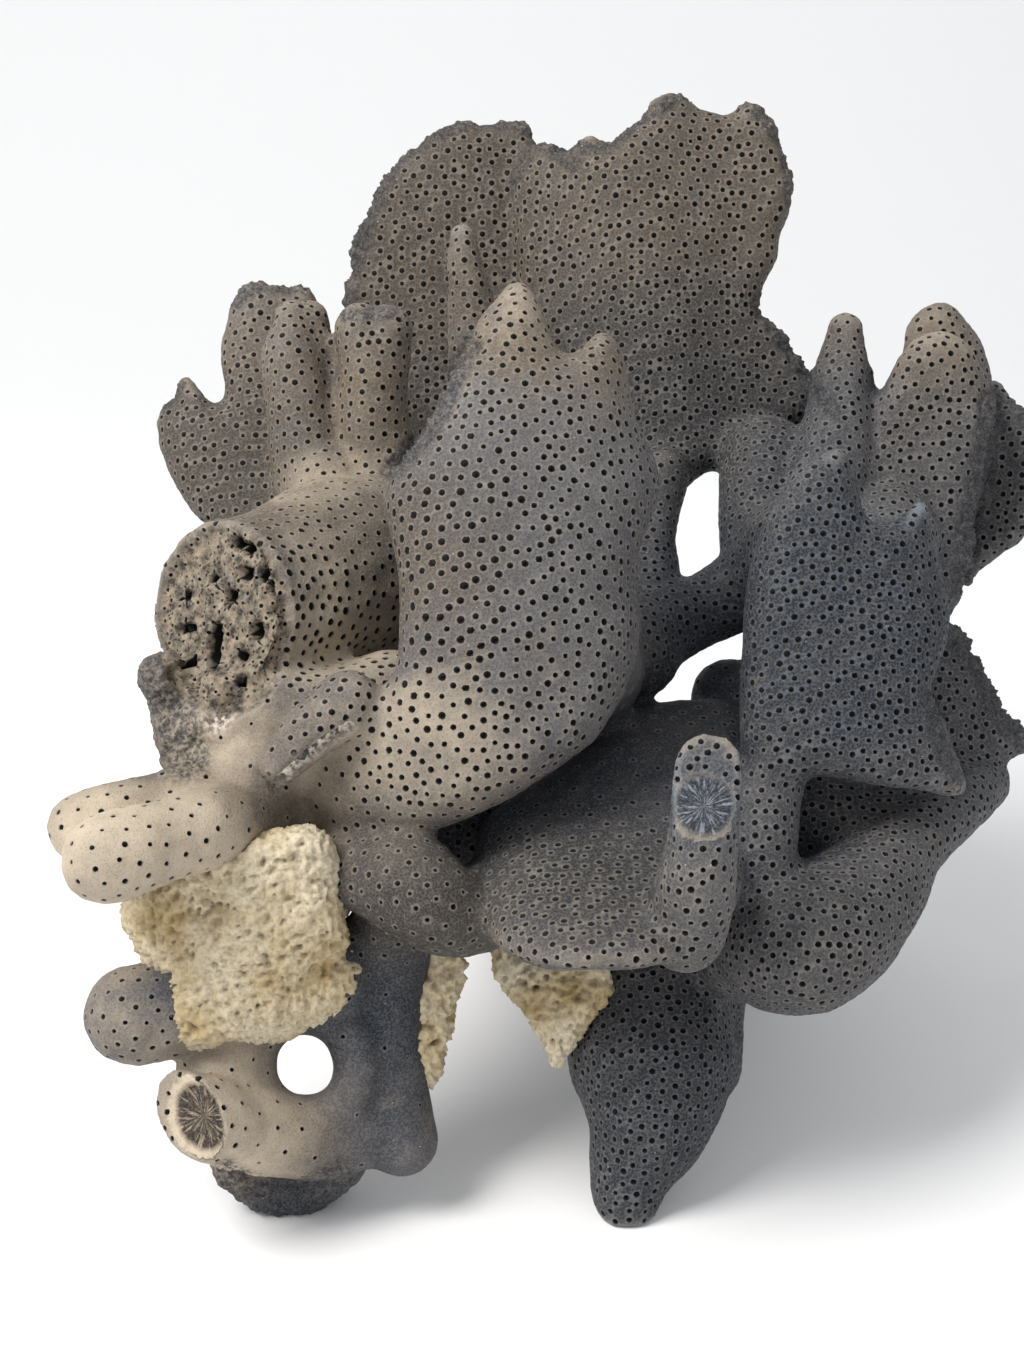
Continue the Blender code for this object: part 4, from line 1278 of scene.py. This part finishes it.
def dry_aragonite_skeleton():
    material, tree, shader, place = new_material("dry aragonite skeleton")
    kept = {name: add(tree, "ShaderNodeAttribute", {"attribute_name": name}, {}, "Fac")
            for name in point_values}
    ground = stone_tone(tree, place, kept)
    ground = torn_stone(tree, place, kept, ground)
    ground = porous_stone(tree, place, kept, ground)
    ground = rayed_stone(tree, kept, ground)
    net = cell_distance(tree, place, NET_MM)
    wall = ramp(tree, net, 0.35, 0.75, 0.0, 0.09)
    ground = mix(tree, wall, ground, NET_STONE)
    # The dark middle of each net cell is painted shade of a fine pore.
    pore = ramp(tree, net, 0.3, 0.08, 0.0, 0.45)
    ground = mix(tree, pore, ground, PAINTED_PORE_SHADE)
    grit = grain(tree, place, GRIT_MM, 2.0)
    spark = ramp(tree, grit, 0.72, 0.8, 0.0, 0.5)
    ground = mix(tree, spark, ground, SPARK_STONE)
    lip = ramp(tree, kept["rim"], 0.3, 0.95, 0.0, 0.3)
    pale_edge = mix(tree, kept["blue"], LIP_STONE, BLUE_EDGE)
    ground = mix(tree, lip, ground, pale_edge)
    # Painted shade at the bottom of each hole and each void.
    inside = ramp(tree, kept["well"], 0.04, 0.2)
    ground = mix(tree, inside, ground, PAINTED_WELL_SHADE)
    tree.links.new(ground, shader.inputs["Base Color"])
    height = add(tree, "ShaderNodeMath", {"operation": "MULTIPLY_ADD"}, {0: net, 1: 0.6, 2: grit})
    bumped(tree, shader, height, 0.5, BUMP_MM)
    gloss = ramp(tree, grit, 0.3, 0.7, 0.6, 0.85)
    tree.links.new(gloss, shader.inputs["Roughness"])
    set_inputs(shader, {"IOR": 1.53, "Specular IOR Level": 0.3})
    return material


skeleton = dry_aragonite_skeleton()
for piece in coral_pieces:
    piece.data.materials.append(skeleton)
print("skeleton nodes:", len(skeleton.node_tree.nodes))

# %% [markdown]
# Lime. The crust is shaped like the coral, but its skin is a sponge of threads and pits. Ridges
# where slow noise crosses zero give the threads, and the middles of scattered cells sink as pits.
# How deep a place lies is kept, and the finish colours the deeper pits darker. The left crust
# stands on its own.

# %% Lime pieces
LIME_VOXEL = 0.45


def sponge_heights(points):
    heights, pits = [], []
    for place in points.tolist():
        broad = noise.noise(Vector(place) / 6.0)
        thread = 1.0 - 3.0 * abs(noise.noise(Vector(place) / 1.3))
        crumb = noise.noise(Vector(place) / 0.7)
        spread = 0.75 + 0.5 * noise.noise(Vector(place) / 4.0)
        pit = max(0.0, 0.42 * spread - noise.voronoi(Vector(place) / 1.4)[0][0])
        heights.append(0.9 * broad + 0.5 * thread + 0.4 * crumb - 2.6 * pit)
        pits.append(min(1.0, 2.6 * pit + 0.4 * max(0.0, -thread)))
    return np.array(heights), np.array(pits)


def lime_surface():
    places, faces = grid_of(remeshed(joined(lime), LIME_VOXEL))
    places = smoothed(places, faces, 2)
    heights, pits = sponge_heights(places)
    places = places + grid_normals(places, faces) * heights[:, None]
    places[:, 2] = np.maximum(places[:, 2], 0.0)
    return places, faces, pits


lime_places, lime_faces, lime_pits = lime_surface()
lime_tree, lime_owners = tree_of_nodes(LIME_NODES)
lime_node = nearest_node(lime_tree, lime_owners, lime_places)[lime_faces[:, 0]]
print("lime:", 2 * len(lime_faces), "triangles")

# %% [markdown]
# The lime itself is chalk and dried sponge: cream, ochre in broad stains, and a darker brown the
# deeper a pit lies. Chalk has no gloss, so the roughness is high and the specular level low.

# %% Lime material
STAIN_MM = 9.0
CHALK_MM = 0.6
CREAM_LIME = "#CFC3AA"
OCHRE_LIME = "#A8905F"
SPECK_LIME = "#84704E"
PIT_LIME = "#4A3B27"
LIME_BUMP_MM = 0.25


def chalky_sponge():
    material, tree, shader, place = new_material("chalky lime sponge")
    pit = add(tree, "ShaderNodeAttribute", {"attribute_name": "pit"}, {}, "Fac")
    stain = grain(tree, place, STAIN_MM, 5.0)
    share = ramp(tree, stain, 0.42, 0.75)
    ground = mix(tree, share, CREAM_LIME, OCHRE_LIME)
    chalk = grain(tree, place, CHALK_MM, 3.0)
    speck = ramp(tree, chalk, 0.45, 0.65, 0.0, 0.4)
    ground = mix(tree, speck, ground, SPECK_LIME)
    # The deeper the pit, the darker brown.
    deep = ramp(tree, pit, 0.1, 0.9, 0.0, 0.85)
    ground = mix(tree, deep, ground, PIT_LIME)
    tree.links.new(ground, shader.inputs["Base Color"])
    bumped(tree, shader, chalk, 0.6, LIME_BUMP_MM)
    set_inputs(shader, {"Roughness": 0.88, "Specular IOR Level": 0.2})
    return material


lime_finish = chalky_sponge()
for number, node in enumerate(LIME_NODES):
    own = lime_faces[lime_node == number]
    mesh, used = cut_out(node + "_skin", lime_places, own)
    mesh.shade_smooth()
    add_value(mesh, "pit", lime_pits[used])
    piece = placed(node + "_skin", mesh)
    mesh.materials.append(lime_finish)
    stand_for(piece, node)
    print(piece.name, len(own), "faces")

# %% [markdown]
# The stage: a white paper sheet that curves up behind, one broad soft light from the upper left,
# and a bright sky all round, which keeps the form of the right side.

# %% Floor and lights
FIBRE_MM = 1.1
PAPER, PAPER_FIBRE = "#F4F4F4", "#EBEBEA"
SHEET_SIDE = 2.5
SHEET_FRONT, BEND_START, BEND_RADIUS, SHEET_TOP = -1.5, 0.5, 0.6, 2.5
BEND_PIECES = 12
WINDOW_PLACE, WINDOW_SIZE, WINDOW_WATTS = (-0.5, -0.35, 0.8), 0.42, 9.5
WINDOW_TINT = (1.0, 0.98, 0.95)
SKY_TINT, SKY_STRENGTH = (0.95, 0.97, 1.0, 1.0), 0.7
MIDDLE_HEIGHT = 0.07


def plain_paper():
    material, tree, shader, place = new_material("white paper")
    fibre = grain(tree, place, FIBRE_MM, 2.0)
    share = ramp(tree, fibre, 0.3, 0.7, 0.0, 0.1)
    ground = mix(tree, share, PAPER, PAPER_FIBRE)
    tree.links.new(ground, shader.inputs["Base Color"])
    set_inputs(shader, {"Roughness": 0.9})
    return material


def curved_sheet():
    profile = [(SHEET_FRONT, 0.0), (BEND_START, 0.0)]
    for step in range(1, BEND_PIECES + 1):
        angle = math.radians(90.0 * step / BEND_PIECES)
        rise = BEND_RADIUS - BEND_RADIUS * math.cos(angle)
        profile.append((BEND_START + BEND_RADIUS * math.sin(angle), rise))
    profile.append((BEND_START + BEND_RADIUS, SHEET_TOP))
    corners = [(x, y, z) for y, z in profile for x in (-SHEET_SIDE, SHEET_SIDE)]
    squares = [(2 * k, 2 * k + 1, 2 * k + 3, 2 * k + 2) for k in range(len(profile) - 1)]
    mesh = bpy.data.meshes.new("sheet")
    mesh.from_pydata(corners, [], squares)
    mesh.shade_smooth()
    sheet = placed("sheet", mesh)
    sheet.data.materials.append(plain_paper())


def soft_light(name, place, aim, size, power, tint):
    light = bpy.data.lights.new(name, "AREA")
    light.size = size
    light.energy = power
    light.color = tint
    lamp = placed(name, light)
    lamp.location = place
    lamp.rotation_euler = (Vector(aim) - Vector(place)).to_track_quat("-Z", "Y").to_euler()


curved_sheet()
soft_light("window", WINDOW_PLACE, (0.0, 0.0, MIDDLE_HEIGHT), WINDOW_SIZE, WINDOW_WATTS, WINDOW_TINT)
world = bpy.data.worlds.new("sky")
world.use_nodes = True
set_inputs(world.node_tree.nodes["Background"], {"Color": SKY_TINT, "Strength": SKY_STRENGTH})
bpy.context.scene.world = world
bpy.context.scene.view_settings.view_transform = "Standard"
